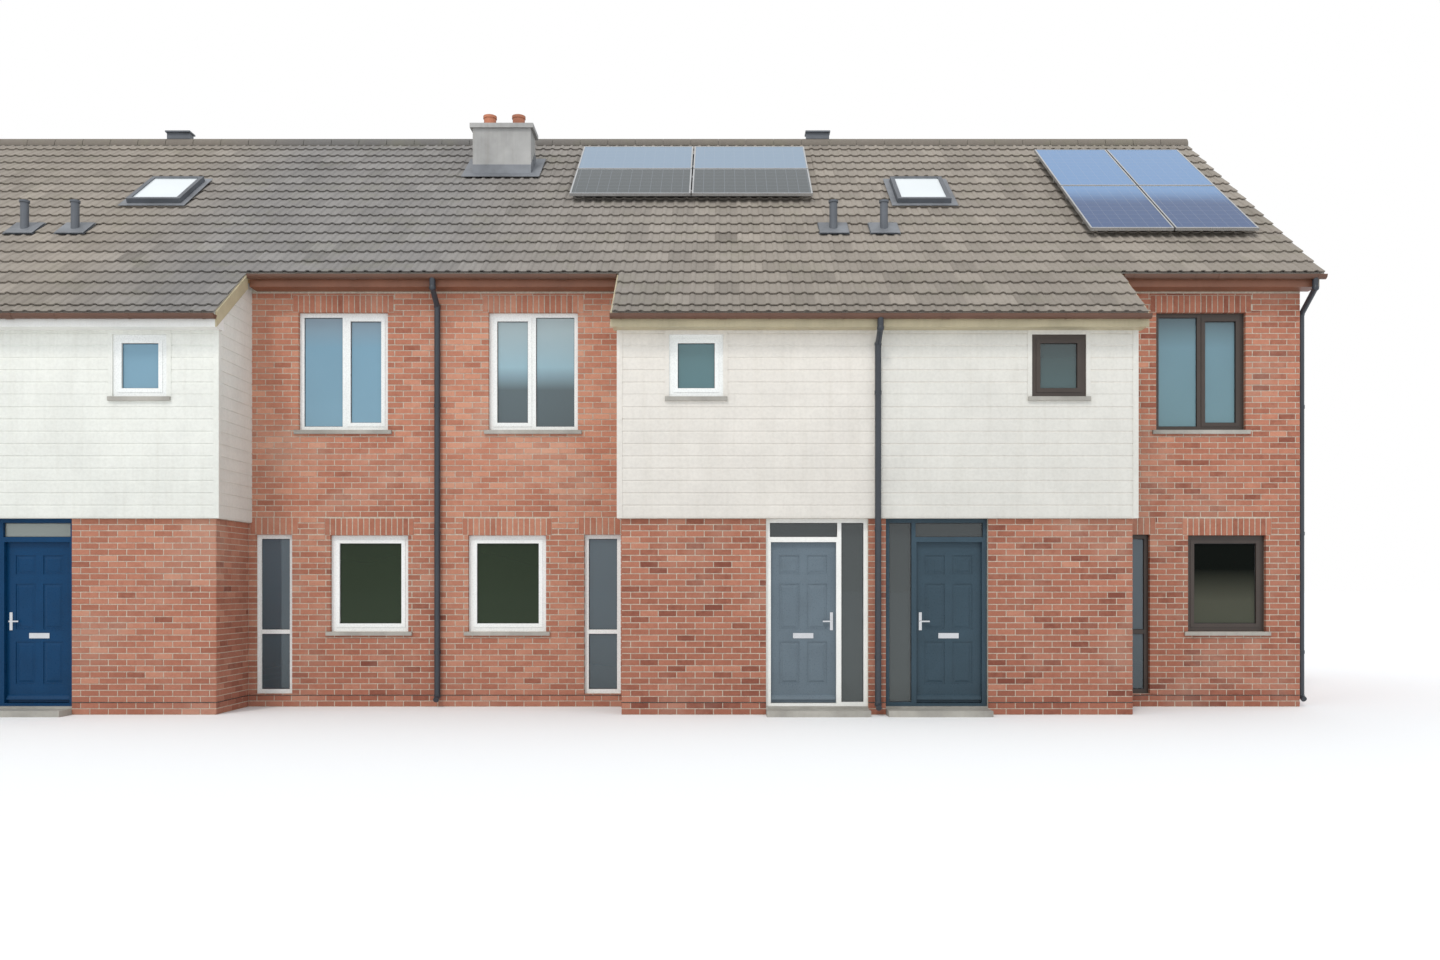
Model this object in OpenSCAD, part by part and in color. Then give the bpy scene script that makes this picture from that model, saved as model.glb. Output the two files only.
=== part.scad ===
// A row of four two-storey terraced houses in mirrored pairs. Each house has a recessed brick bay and
// a projecting part, brick below and boarded above, under one roof whose eaves step with the front.
// Millimetres, +Z up, front towards -Y, origin under the middle of the row at ground level.

/* [Row] */
// Width of one house between party lines
house_w = 5600; // [5450:50:6200]
// Depth of the main block between its outer brick faces
main_d = 8300; // [7800:50:9200]
// Distance that the boarded parts stand in front of the bays
proj_d = 970; // [700:10:1200]
// Width of the recessed bay of one house
bay_w = 2480; // [2450:10:2700]

/* [Heights] */
// Ground floor level above the ground
ground_floor_h = 100; // [60:5:200]
// Height from ground floor to first floor
storey_h = 2600; // [2550:10:2800]
// Head of the front door set, where the boarding starts
board_base_h = 2400; // [2380:10:2450]
// Underside of the ceiling under the loft
ceiling_h = 5200; // [5180:10:5300]
// Top of the tiles at the lower edge of the main roof
eave_h = 5610; // [5580:10:5800]

/* [Walls] */
// Thickness of the outer brick walls
wall_t = 300; // [250:5:350]
// Thickness of the party walls
party_t = 215; // [190:5:240]
// Distance from the last party line to the outer gable face
gable_out = 50; // [30:5:90]
// Thickness of the boarded wall of the projecting parts
board_wall_t = 250; // [200:5:300]
// Thickness of the boarding with its battens
boarding_t = 45; // [35:1:60]

/* [Floors] */
// Thickness of the first floor with its ceiling
floor_t = 240; // [200:5:280]
// Thickness of the loft floor
loft_t = 150; // [120:5:200]

/* [Roof] */
// Roof pitch in degrees
roof_pitch = 37; // [34:0.5:40]
// Distance from a brick face to the lower edge of the tiles
eave_overhang = 300; // [240:10:360]
// Distance that the tiles pass the gable faces
verge_overhang = 180; // [140:5:220]
// Distance that the tiles pass the verge boards
verge_lip = 50; // [40:5:60]
// Upright thickness of tiles and battens
tile_t = 50; // [40:1:60]
// Upright thickness of the rafters with their boards
rafter_t = 140; // [120:5:170]
// Distance that the tiles hang over the fascia
tile_lip = 50; // [40:1:60]
// Thickness of fascias and verge boards
fascia_t = 22; // [18:1:28]
// Drop from the lower edge of the tiles to the soffit
soffit_drop = 190; // [180:5:230]
// Thickness of the soffit boards
soffit_t = 12; // [9:1:18]
// Depth of the verge boards
verge_board_h = 180; // [160:5:220]
// Length of one ridge tile
ridge_tile_l = 450; // [400:10:500]
// Outer radius of a ridge tile
ridge_r = 125; // [115:1:140]
// Thickness of a ridge tile
ridge_tile_t = 16; // [12:1:20]

/* [Rainwater] */
// Outer radius of the half-round gutters
gutter_r = 56; // [50:1:65]
// Wall of the gutters and pipes
pipe_wall = 3; // [2:0.5:4]
// Outer radius of the downpipes
downpipe_r = 38; // [34:1:45]
// Gap between a downpipe and the wall behind it
downpipe_gap = 12; // [6:1:25]
// Height of a downpipe's foot above the ground
downpipe_foot = 60; // [40:5:120]

/* [Front windows] */
// Width of the bay window upstairs
bay_up_w = 1170; // [1000:10:1300]
// Height of the bay window upstairs
bay_up_h = 1540; // [1300:10:1580]
// Sill height of the bay window upstairs, above the ground
bay_up_sill = 3610; // [3560:10:3620]
// Width of the bay window downstairs
bay_low_w = 1020; // [900:10:1100]
// Height of the bay window downstairs
bay_low_h = 1260; // [1100:10:1300]
// Sill height of the bay window downstairs
bay_low_sill = 980; // [900:10:1000]
// Distance from the party line to the bay window downstairs
bay_low_off = 390; // [350:10:420]
// Width of the tall side light in the bay
slot_w = 480; // [400:10:520]
// Height of the tall side light
slot_h = 2080; // [1900:10:2150]
// Sill height of the tall side light
slot_sill = 170; // [150:5:200]
// Distance from the tall side light to the side of the projecting part
slot_off = 95; // [80:5:110]
// Width of the small window in the boarding
small_w = 660; // [560:10:760]
// Height of the small window
small_h = 760; // [600:10:780]
// Sill height of the small window
small_sill = 3880; // [3850:10:3900]
// Distance from the party line by the doors to the middle of the small window
small_mid = 2210; // [2100:10:2300]

/* [Rear windows] */
// Width of the rear windows upstairs
rear_up_w = 1200; // [1000:10:1400]
// Height of the rear windows upstairs
rear_up_h = 1200; // [1000:10:1350]
// Sill height of the rear windows upstairs
rear_up_sill = 3800; // [3700:10:3850]
// Distance from the bay party line to the first rear window
rear_first_off = 800; // [600:10:900]
// Distance from the other party line to the second rear window
rear_second_off = 900; // [600:10:1000]
// Width of the rear window downstairs
rear_low_w = 1780; // [1500:10:2000]
// Height of the rear window downstairs
rear_low_h = 1200; // [1000:10:1250]
// Sill height of the rear window downstairs
rear_low_sill = 1000; // [950:10:1050]
// Width of the rear door with its frame
rear_door_w = 920; // [850:10:1000]
// Height of the rear door with its frame
rear_door_h = 2100; // [2000:10:2150]

/* [Joinery] */
// Face width of window frames and bars
bar_w = 55; // [45:1:65]
// Depth of window frames
frame_d = 70; // [60:1:90]
// Face width of opening casements
casement_w = 50; // [40:1:60]
// Distance that a casement stands proud of its frame
casement_out = 8; // [4:1:12]
// Thickness of the sealed glass units
glass_t = 24; // [20:1:28]
// Distance from a brick face to the window frames
reveal = 60; // [40:5:80]
// Distance that sills stand in front of the wall
sill_out = 40; // [25:5:60]
// Thickness of the sills
sill_t = 50; // [40:5:65]
// Length of a sill past each side of its window
sill_ear = 50; // [30:5:75]

/* [Front doors] */
// Width of the door set with its side light
set_w = 1250; // [1220:10:1400]
// Face width of the door set's posts
post_w = 50; // [44:1:60]
// Depth of the door set
post_d = 100; // [90:1:120]
// Distance that the door stop stands into the opening
stop_w = 12; // [10:1:15]
// Height of the threshold
threshold_h = 35; // [25:1:45]
// Width of the door leaf
leaf_w = 815; // [780:5:840]
// Height of the glass over the door leaf
top_light_h = 174; // [120:2:250]
// Height of the door handles above the foot of the door
handle_h = 1000; // [950:10:1050]
// Thickness of the door leaf
leaf_t = 44; // [40:1:50]
// Clearance of the leaf at its hinges, top and bottom
leaf_gap = 5; // [5:0.5:6]
// Clearance of the leaf at its latch side
latch_gap = 7; // [7:0.5:9]
// Radius of the hinge knuckles
knuckle_r = 7; // [6:0.5:8]
// Height of one knuckle
knuckle_h = 30; // [24:1:36]
// Depth of the steps at the doors
step_d = 280; // [240:10:300]
// Height of the steps
step_h = 75; // [50:5:90]

/* [Chimney] */
// Width of the stack along the row
stack_w = 900; // [700:10:1100]
// Depth of the stack
stack_d = 450; // [400:10:600]
// Distance from the ridge to the stack's front face
stack_front = 1335; // [1200:10:1500]
// Offset of the stack's middle from the party line
stack_off = 300; // [200:10:350]
// Height of the stack's capping above the tiles behind it
stack_rise = 444; // [380:2:600]
// Height of the two flue pots
pot_h = 200; // [120:10:250]
// Outer radius of the pots
pot_r = 105; // [90:5:125]

/* [Roof fittings] */
// Width of a roof window
roof_win_w = 780; // [550:10:800]
// Length of a roof window along the slope
roof_win_l = 1000; // [900:10:1100]
// Distance from the party line by the doors to a roof window's middle
roof_win_off = 1050; // [950:10:1150]
// Distance up the slope from the main eaves to a roof window's lower edge
roof_win_up = 2530; // [2400:10:2700]
// Height of a roof window above the tiles
roof_win_out = 85; // [70:5:100]
// Height of solar panels above the tiles, to their underside
panel_gap = 80; // [60:5:120]
// Thickness of solar panels
panel_t = 40; // [35:1:50]
// Outer radius of the soil vent pipes
vent_r = 55; // [50:1:60]
// Height of the vent pipes above the tiles
vent_h = 360; // [300:10:450]
// Distance from a party line to a vent pipe
vent_off = 350; // [300:10:400]
// Distance up the slope from the main eaves to a vent pipe
vent_up = 1520; // [1400:10:1600]
// Distance from a party line to the flue terminal on the ridge
terminal_off = 300; // [200:10:400]

/* [Hidden] */
$fn = 32;
// Small overshoot that lets a cut pass a face
eps = 1;
// Clearance between layers of the roof and between them and what they bear on
seat_gap = 0.3;

// Houses are numbered from the left. Even and odd houses mirror each other about their party lines.
houses = [0, 1, 2, 3];
slope = tan(roof_pitch);
rise = cos(roof_pitch);
front_y = -(main_d + proj_d) / 2;
bay_y = front_y + proj_d;
rear_y = bay_y + main_d;
ridge_y = (bay_y + rear_y) / 2;
row_end_x = 2 * house_w + gable_out;
gable_in_x = row_end_x - wall_t;
verge_x = row_end_x + verge_overhang;
// Inner face of the verge boards at the row's ends, where deck and eaves stop
board_in_x = verge_x - verge_lip - fascia_t;
// The boarded pairs stand about the party lines at plus and minus one house width
pair_half = house_w - bay_w;
side_lap = boarding_t + 50;
first_floor_h = ground_floor_h + storey_h;

bay_edge_y = bay_y - eave_overhang;
front_edge_y = front_y - eave_overhang;
rear_edge_y = rear_y + eave_overhang;
ridge_z = eave_h + (ridge_y - bay_edge_y) * slope;

// Heights of the roof's layers over a point of the plan
function tile_top(y) = ridge_z - abs(y - ridge_y) * slope;
function deck_top(y) = tile_top(y) - tile_t - seat_gap;
function deck_under(y) = deck_top(y) - rafter_t - seat_gap;
// Place on the plan of a point that lies a distance up the front slope from the main eaves
function slope_y(s) = bay_edge_y + s * rise;

// Party line beside a house's bay, and the direction from it across the house
function bay_x(i) = [-2, 0, 0, 2][i] * house_w;
function hand(i) = [1, -1, 1, -1][i];
// Inner face of the wall at a house's bay side, measured from its bay party line
function bay_side_in(i) = (i == 0 || i == 3) ? wall_t - gable_out : party_t / 2;

// Places across a house, measured from its bay party line
u_side = bay_w;
u_set_in = house_w - party_t / 2;
u_set_out = u_set_in - set_w;
u_small = house_w - small_mid - small_w / 2;
u_bay_up = (bay_w - bay_up_w) / 2;
u_slot = bay_w - slot_off - slot_w;
u_rear_second = house_w - rear_second_off - rear_up_w;
u_rear_door = house_w - rear_second_off - rear_door_w;

// Children drawn in a house's own plan, x measured from its bay party line
module in_house(i) {
    translate([bay_x(i), 0, 0])
        if (hand(i) > 0) children();
        else mirror([1, 0, 0]) children();
}

module block(x0, x1, y0, y1, z0, z1) {
    translate([x0, y0, z0]) cube([x1 - x0, y1 - y0, z1 - z0]);
}

// An outline of [y, z] points carried along X
module along_x(x0, x1, outline) {
    translate([x0, 0, 0]) rotate([90, 0, 90]) linear_extrude(x1 - x0) polygon(outline);
}

// A wall along the row whose top follows the underside of the roof
module eave_wall(x0, x1, y0, y1, z0) {
    along_x(x0, x1, [[y0, z0], [y1, z0], [y1, deck_under(y1)], [y0, deck_under(y0)]]);
}

// A window hole through a wall that runs along the row
module hole(u, w, sill, h, y, t) {
    translate([u, y - eps, sill]) cube([w, t + 2 * eps, h]);
}

// Floors

module floor_outline(i, back) {
    a = bay_side_in(i);
    square_from(a, bay_y + wall_t, u_set_in, back);
    square_from(u_side + wall_t, front_y + wall_t, u_set_in, back);
}

module square_from(x0, y0, x1, y1) {
    translate([x0, y0]) square([x1 - x0, y1 - y0]);
}

module ground_floor_slabs() {
    color("darkgray")
        for (i = houses) in_house(i) {
            linear_extrude(ground_floor_h) {
                floor_outline(i, rear_y - wall_t);
                square_from(u_set_out, front_y, u_set_in, front_y + wall_t + eps);
            }
        }
}

module first_floors() {
    color("burlywood")
        for (i = houses) in_house(i)
            translate([0, 0, first_floor_h - floor_t])
                linear_extrude(floor_t) {
                    square_from(bay_side_in(i), bay_y + wall_t, u_set_in, rear_y - wall_t);
                    square_from(u_side + wall_t, front_y + board_wall_t, u_set_in, rear_y - wall_t);
                }
}

// The loft floor runs on into the projecting part until it meets the sloping underside of the roof
module loft_floors() {
    low = ceiling_h;
    high = ceiling_h + loft_t;
    back = rear_y - wall_t;
    y_low = ridge_y - (deck_under(ridge_y) - low) / slope;
    y_high = ridge_y - (deck_under(ridge_y) - high) / slope;
    color("burlywood")
        for (i = houses) in_house(i) {
            along_x(bay_side_in(i), u_set_in,
                [[bay_y + wall_t, low], [back, low], [back, high], [bay_y + wall_t, high]]);
            along_x(u_side + wall_t, u_set_in,
                [[y_low, low], [back, low], [back, high], [y_high, high]]);
        }
}

// Walls

// Outline of a cross wall up to the underside of the roof
function cross_outline(y0, y1) = [
    [y0, 0], [y1, 0], [y1, deck_under(y1)], [ridge_y, deck_under(ridge_y)], [y0, deck_under(y0)]
];

// The party walls by the doors come forward between the door sets as the nib that shows there
module party_walls() {
    half = party_t / 2;
    front_in = front_y + board_wall_t;
    color("indianred") {
        along_x(-half, half, cross_outline(bay_y + wall_t, rear_y - wall_t));
        for (s = [-1, 1]) translate([s * house_w, 0, 0])
            along_x(-half, half, [
                [front_y, 0], [rear_y - wall_t, 0],
                [rear_y - wall_t, deck_under(rear_y - wall_t)],
                [ridge_y, deck_under(ridge_y)],
                [front_in, deck_under(front_in)],
                [front_in, board_base_h], [front_y, board_base_h]
            ]);
    }
}

module gable_wall(side) {
    color("indianred")
        along_x(min(side * gable_in_x, side * row_end_x), max(side * gable_in_x, side * row_end_x),
            cross_outline(bay_y, rear_y));
}

module left_gable_wall() gable_wall(-1);

module right_gable_wall() gable_wall(1);

module bay_holes(i) {
    in_house(i) {
        hole(u_bay_up, bay_up_w, bay_up_sill, bay_up_h, bay_y, wall_t);
        hole(bay_low_off, bay_low_w, bay_low_sill, bay_low_h, bay_y, wall_t);
        hole(u_slot, slot_w, slot_sill, slot_h, bay_y, wall_t);
    }
}

// The middle bays share one wall. Each end bay's wall runs from its gable.
module bay_walls() {
    color("indianred") {
        difference() {
            eave_wall(-bay_w, bay_w, bay_y, bay_y + wall_t, 0);
            for (i = [1, 2]) bay_holes(i);
        }
        for (i = [0, 3]) difference() {
            in_house(i) eave_wall(wall_t - gable_out, bay_w, bay_y, bay_y + wall_t, 0);
            bay_holes(i);
        }
    }
}

module ground_floor_piers() {
    color("indianred")
        for (i = houses) in_house(i)
            block(u_side, u_set_out, front_y, front_y + wall_t, 0, board_base_h);
}

module projection_side_walls() {
    color("indianred")
        for (i = houses) in_house(i)
            along_x(u_side, u_side + wall_t, [
                [front_y + wall_t, 0], [bay_y + wall_t, 0],
                [bay_y + wall_t, deck_under(bay_y + wall_t)],
                [front_y + board_wall_t, deck_under(front_y + board_wall_t)],
                [front_y + board_wall_t, board_base_h], [front_y + wall_t, board_base_h]
            ]);
}

// Each pair of projecting parts shares one framed wall over its piers and door sets
module boarded_front_walls() {
    color("gainsboro")
        for (s = [-1, 1]) difference() {
            translate([s * house_w, 0, 0])
                eave_wall(-pair_half, pair_half, front_y, front_y + board_wall_t, board_base_h);
            for (i = houses) in_house(i)
                hole(u_small, small_w, small_sill, small_h, front_y, board_wall_t);
        }
}

module rear_wall() {
    y = rear_y - wall_t;
    color("indianred")
        difference() {
            eave_wall(-gable_in_x, gable_in_x, y, rear_y, 0);
            for (i = houses) in_house(i) {
                hole(rear_first_off, rear_up_w, rear_up_sill, rear_up_h, y, wall_t);
                hole(u_rear_second, rear_up_w, rear_up_sill, rear_up_h, y, wall_t);
                hole(rear_first_off, rear_low_w, rear_low_sill, rear_low_h, y, wall_t);
                hole(u_rear_door, rear_door_w, ground_floor_h, rear_door_h, y, wall_t);
            }
        }
}

// Boarding on the front and the bay side of each projecting part
module boarding(s) {
    face_y = front_y - boarding_t;
    soffit = eave_h - proj_d * slope - soffit_drop;
    color("white")
        difference() {
            union() {
                translate([s * house_w, 0, 0])
                    block(-pair_half - boarding_t, pair_half + boarding_t,
                        face_y, front_y, board_base_h, soffit);
                for (i = houses) if (sign(bay_x(i) + hand(i)) == s) in_house(i)
                    along_x(u_side - boarding_t, u_side, [
                        [face_y, board_base_h], [bay_y, board_base_h],
                        [bay_y, deck_under(bay_y)], [front_y, deck_under(front_y)],
                        [front_y, soffit], [face_y, soffit]
                    ]);
            }
            for (i = houses) in_house(i)
                hole(u_small, small_w, small_sill, small_h, face_y, boarding_t);
        }
}

module left_boarding() boarding(-1);

module right_boarding() boarding(1);

// Roof

// Outline of one layer of the front slope down to a given edge
function front_layer(y_edge, top, under) = [
    [y_edge, ridge_z - (ridge_y - y_edge) * slope - top], [ridge_y, ridge_z - top],
    [ridge_y, ridge_z - under], [y_edge, ridge_z - (ridge_y - y_edge) * slope - under]
];

function rear_layer(y_edge, top, under) = [
    [ridge_y, ridge_z - top], [y_edge, ridge_z - (y_edge - ridge_y) * slope - top],
    [y_edge, ridge_z - (y_edge - ridge_y) * slope - under], [ridge_y, ridge_z - under]
];

// A box that stands square to the front slope, placed by its lower edge and heights over the tiles
module on_slope(x_mid, up, w, l, z0, z1) {
    translate([x_mid, slope_y(up), tile_top(slope_y(up))])
        rotate([roof_pitch, 0, 0])
            translate([-w / 2, 0, z0]) cube([w, l, z1 - z0]);
}

roof_windows = [1, 3];

function roof_win_x(i) = bay_x(i) + hand(i) * (house_w - roof_win_off);

module roof_window_holes() {
    depth = 2 * (tile_t + rafter_t);
    for (i = roof_windows)
        on_slope(roof_win_x(i), roof_win_up - seat_gap, roof_win_w + 2 * seat_gap,
            roof_win_l + 2 * seat_gap, -depth, depth);
}

// The front slope reaches down over the projecting parts past the main eaves
module front_slope(bay_edge, front_edge, top, under) {
    difference() {
        union() {
            along_x(-verge_x, verge_x, front_layer(bay_edge, top, under));
            for (s = [-1, 1]) translate([s * house_w, 0, 0])
                along_x(-pair_half - side_lap, pair_half + side_lap, front_layer(front_edge, top, under));
        }
        roof_window_holes();
    }
}

fascia_front = tile_lip;
fascia_back = tile_lip + fascia_t;

module front_roof_deck() {
    color("tan")
        intersection() {
            front_slope(bay_edge_y + fascia_back + seat_gap, front_edge_y + fascia_back + seat_gap,
                tile_t + seat_gap, tile_t + seat_gap + rafter_t);
            block(-board_in_x, board_in_x, front_edge_y, ridge_y, 0, ridge_z);
        }
}

module rear_roof_deck() {
    color("tan")
        along_x(-board_in_x, board_in_x,
            rear_layer(rear_edge_y - fascia_back - seat_gap,
                tile_t + seat_gap, tile_t + seat_gap + rafter_t));
}

module front_roof_tiles() {
    color("dimgray") front_slope(bay_edge_y, front_edge_y, 0, tile_t);
}

module rear_roof_tiles() {
    color("dimgray") along_x(-verge_x, verge_x, rear_layer(rear_edge_y, 0, tile_t));
}

// Half-round ridge tiles bedded over the two slopes, with open joints
module ridge_tiles() {
    count = floor(2 * verge_x / ridge_tile_l);
    pitch = 2 * verge_x / count;
    joint = 8;
    seat = ridge_r * rise;
    color("dimgray")
        for (k = [0 : count - 1])
            difference() {
                translate([-verge_x + k * pitch, ridge_y, ridge_z - seat * slope])
                    rotate([0, 90, 0]) difference() {
                        cylinder(h = pitch - joint, r = ridge_r);
                        translate([0, 0, -eps]) cylinder(h = pitch + eps, r = ridge_r - ridge_tile_t);
                    }
                along_x(-verge_x - eps, verge_x + eps, [
                    [ridge_y - 2 * ridge_r, ridge_z - 2 * ridge_r * slope], [ridge_y, ridge_z],
                    [ridge_y + 2 * ridge_r, ridge_z - 2 * ridge_r * slope],
                    [ridge_y + 2 * ridge_r, ridge_z - 4 * ridge_r],
                    [ridge_y - 2 * ridge_r, ridge_z - 4 * ridge_r]
                ]);
            }
}

// Boards under the verges of the gables and of the projecting parts' sides
module verge_boards() {
    x = board_in_x;
    x_side = pair_half + boarding_t;
    color("darkolivegreen") {
        for (s = [-1, 1]) mirror([s < 0 ? 1 : 0, 0, 0])
            along_x(x, x + fascia_t, [
                [bay_edge_y + fascia_front, deck_top(bay_edge_y + fascia_front)],
                [ridge_y, deck_top(ridge_y)],
                [rear_edge_y - fascia_front, deck_top(rear_edge_y - fascia_front)],
                [rear_edge_y - fascia_front, deck_top(rear_edge_y - fascia_front) - verge_board_h],
                [ridge_y, deck_top(ridge_y) - verge_board_h],
                [bay_edge_y + fascia_front, deck_top(bay_edge_y + fascia_front) - verge_board_h]
            ]);
        for (s = [-1, 1]) for (t = [-1, 1]) translate([s * house_w, 0, 0])
            mirror([t < 0 ? 1 : 0, 0, 0])
                along_x(x_side + side_lap - boarding_t, x_side + side_lap - boarding_t + fascia_t, [
                    [front_edge_y + fascia_front, deck_top(front_edge_y + fascia_front)],
                    [bay_edge_y, deck_top(bay_edge_y)],
                    [bay_edge_y, deck_top(bay_edge_y) - verge_board_h],
                    [front_edge_y + fascia_front, deck_top(front_edge_y + fascia_front) - verge_board_h]
                ]);
    }
}

// Fascia and soffit of one eave that faces the front, with the wall face at y_wall
module eave_box(x0, x1, y_wall) {
    edge = y_wall - eave_overhang;
    drop = (bay_y - y_wall) * slope;
    low = eave_h - drop - soffit_drop;
    along_x(x0, x1, [
        [edge + fascia_front, low], [y_wall, low], [y_wall, low + soffit_t],
        [edge + fascia_back, low + soffit_t], [edge + fascia_back, deck_top(edge + fascia_back)],
        [edge + fascia_front, deck_top(edge + fascia_front)]
    ]);
}

// Closed end of such a box, from under the deck to the soffit
module eave_end(x0, x1, y_wall) {
    back = y_wall - eave_overhang + fascia_back;
    low = eave_h - (bay_y - y_wall) * slope - soffit_drop + soffit_t;
    along_x(x0, x1, [
        [back, low], [y_wall, low], [y_wall, deck_under(y_wall)], [back, deck_under(back)]
    ]);
}

// Eaves of a projecting pair, with an end at each side
module pair_eaves(s) {
    end = pair_half + side_lap;
    translate([s * house_w, 0, 0]) {
        eave_box(-end, end, front_y);
        for (t = [-1, 1]) mirror([t < 0 ? 1 : 0, 0, 0])
            eave_end(pair_half + boarding_t, end, front_y);
    }
}

// Eaves of the bay at one end of the row
module end_bay_eaves(s) {
    mirror([s < 0 ? 1 : 0, 0, 0]) {
        eave_box(house_w + pair_half + side_lap + fascia_t, board_in_x, bay_y);
        eave_end(row_end_x, board_in_x, bay_y);
    }
}

module left_eave_boards() {
    color("white") {
        pair_eaves(-1);
        end_bay_eaves(-1);
    }
}

module right_eave_boards() {
    color("darkolivegreen") {
        pair_eaves(1);
        eave_box(-bay_w + side_lap + fascia_t, bay_w - side_lap - fascia_t, bay_y);
        end_bay_eaves(1);
    }
}

module rear_eave_boards() {
    color("white")
        translate([0, 2 * ridge_y, 0]) mirror([0, 1, 0]) {
            eave_box(-board_in_x, board_in_x, bay_y);
            for (s = [-1, 1]) mirror([s < 0 ? 1 : 0, 0, 0]) eave_end(row_end_x, board_in_x, bay_y);
        }
}

// Rainwater goods

gutter_mid = fascia_front - gutter_r;

module gutter_run(x0, x1) {
    rotate([90, 0, 90]) linear_extrude(x1 - x0)
        difference() {
            circle(r = gutter_r);
            circle(r = gutter_r - pipe_wall);
            translate([-2 * gutter_r, 0]) square([4 * gutter_r, 2 * gutter_r]);
        }
    for (x = [0, x1 - x0 - pipe_wall])
        translate([x, 0, 0]) rotate([90, 0, 90]) linear_extrude(pipe_wall)
            intersection() {
                circle(r = gutter_r);
                translate([-2 * gutter_r, -2 * gutter_r]) square([4 * gutter_r, 2 * gutter_r]);
            }
}

// A gutter in front of an eave, under the lip of its tiles
module eave_gutter(x0, x1, y_wall) {
    edge = y_wall - eave_overhang;
    translate([x0, edge + gutter_mid, deck_top(edge) - pipe_wall]) gutter_run(x0, x1);
}

module to_rear() {
    translate([0, 2 * ridge_y, 0]) mirror([0, 1, 0]) children();
}

module gutters() {
    pair_end = pair_half + side_lap + fascia_t;
    color("gray") {
        for (s = [-1, 1])
            eave_gutter(s * house_w - pair_end, s * house_w + pair_end, front_y);
        bay_end = bay_w - side_lap - fascia_t - 5;
        eave_gutter(-bay_end, bay_end, bay_y);
        eave_gutter(house_w + pair_end + 5, verge_x, bay_y);
        eave_gutter(-verge_x, -house_w - pair_end - 5, bay_y);
        to_rear() eave_gutter(-verge_x, verge_x, bay_y);
    }
}

// A round pipe between two points
module pipe(a, b, r) {
    d = b - a;
    l = norm(d);
    translate(a) rotate([0, acos(d[2] / l), atan2(d[1], d[0])]) cylinder(h = l, r = r);
}

// A downpipe with its outlet, swan neck and foot, under an eave of the wall at y_wall. It stands
// before a face at y_face, or beside the gable face at x_face.
module downpipe(x, y_wall, y_face, x_face = undef) {
    edge = y_wall - eave_overhang;
    y_gutter = edge + gutter_mid;
    z_gutter = deck_top(edge) - pipe_wall - gutter_r;
    y_pipe = y_face - downpipe_gap - downpipe_r;
    run = y_pipe - y_gutter;
    z_top = z_gutter - 110;
    z_low = z_top - run * 0.7;
    z_foot = downpipe_foot + 2 * downpipe_r;
    difference() {
        pipe([x, y_gutter, z_top], [x, y_gutter, z_gutter + gutter_r / 2], downpipe_r);
        translate([x - 2 * gutter_r, y_gutter, z_gutter + gutter_r]) rotate([0, 90, 0])
            cylinder(h = 4 * gutter_r, r = gutter_r + seat_gap);
    }
    pipe([x, y_gutter, z_top], [x, y_pipe, z_low], downpipe_r - 2);
    pipe([x, y_pipe, z_foot], [x, y_pipe, z_low], downpipe_r);
    pipe([x, y_pipe, z_foot], [x, y_pipe - 2 * downpipe_r, z_foot - downpipe_r], downpipe_r - 2);
    for (at = [[x, y_gutter, z_top], [x, y_pipe, z_low], [x, y_pipe, z_foot]])
        translate(at) sphere(r = downpipe_r + 6);
    for (z = [bracket_low, bracket_high])
        if (x_face == undef) block(x - 20, x + 20, y_pipe, y_face, z, z + 25);
        else block(min(x, x_face), max(x, x_face), y_pipe - 20, y_pipe + 20, z, z + 25);
}

bracket_low = 700;
bracket_high = 2250;
end_pipe_x = row_end_x + downpipe_gap + downpipe_r;
// The end pipes stand this far behind the bay's face
end_pipe_in = 60;

module downpipes() {
    color("gray") {
        for (s = [-1, 1]) downpipe(s * house_w, front_y, front_y - boarding_t);
        downpipe(0, bay_y, bay_y);
        for (s = [-1, 1])
            downpipe(s * end_pipe_x, bay_y, bay_y + end_pipe_in + downpipe_gap + downpipe_r, s * row_end_x);
        to_rear() for (x = [-house_w, house_w]) downpipe(x, bay_y, bay_y);
    }
}

// Chimney

stack_top_z = tile_top(ridge_y - stack_front + stack_d) + stack_rise;

module chimney_stack() {
    front = ridge_y - stack_front;
    cap_t = 70;
    cap_out = 40;
    body_top = stack_top_z - cap_t;
    color("silver") {
        along_x(stack_off - stack_w / 2, stack_off + stack_w / 2, [
            [front, tile_top(front) + seat_gap], [front + stack_d, tile_top(front + stack_d) + seat_gap],
            [front + stack_d, body_top], [front, body_top]
        ]);
        block(stack_off - stack_w / 2 - cap_out, stack_off + stack_w / 2 + cap_out,
            front - cap_out, front + stack_d + cap_out, body_top, stack_top_z);
    }
}

module chimney_pots() {
    mid = ridge_y - stack_front + stack_d / 2;
    color("darksalmon")
        for (s = [-1, 1])
            translate([stack_off + s * stack_w / 4, mid, stack_top_z]) difference() {
                union() {
                    cylinder(h = pot_h, r = pot_r * 0.9);
                    translate([0, 0, pot_h - 40]) cylinder(h = 40, r = pot_r);
                }
                translate([0, 0, 30]) cylinder(h = pot_h, r = pot_r * 0.9 - 20);
            }
}

// Roof fittings

module roof_window_frames() {
    f = 60;
    skirt = 70;
    low = -(tile_t + rafter_t) * rise;
    color("slategray")
        for (i = roof_windows) difference() {
            union() {
                on_slope(roof_win_x(i), roof_win_up, roof_win_w, roof_win_l, low, roof_win_out);
                on_slope(roof_win_x(i), roof_win_up - skirt, roof_win_w + 2 * skirt,
                    roof_win_l + 2 * skirt, seat_gap, 6);
            }
            on_slope(roof_win_x(i), roof_win_up + f, roof_win_w - 2 * f, roof_win_l - 2 * f,
                low - eps, roof_win_out + eps);
        }
}

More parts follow.
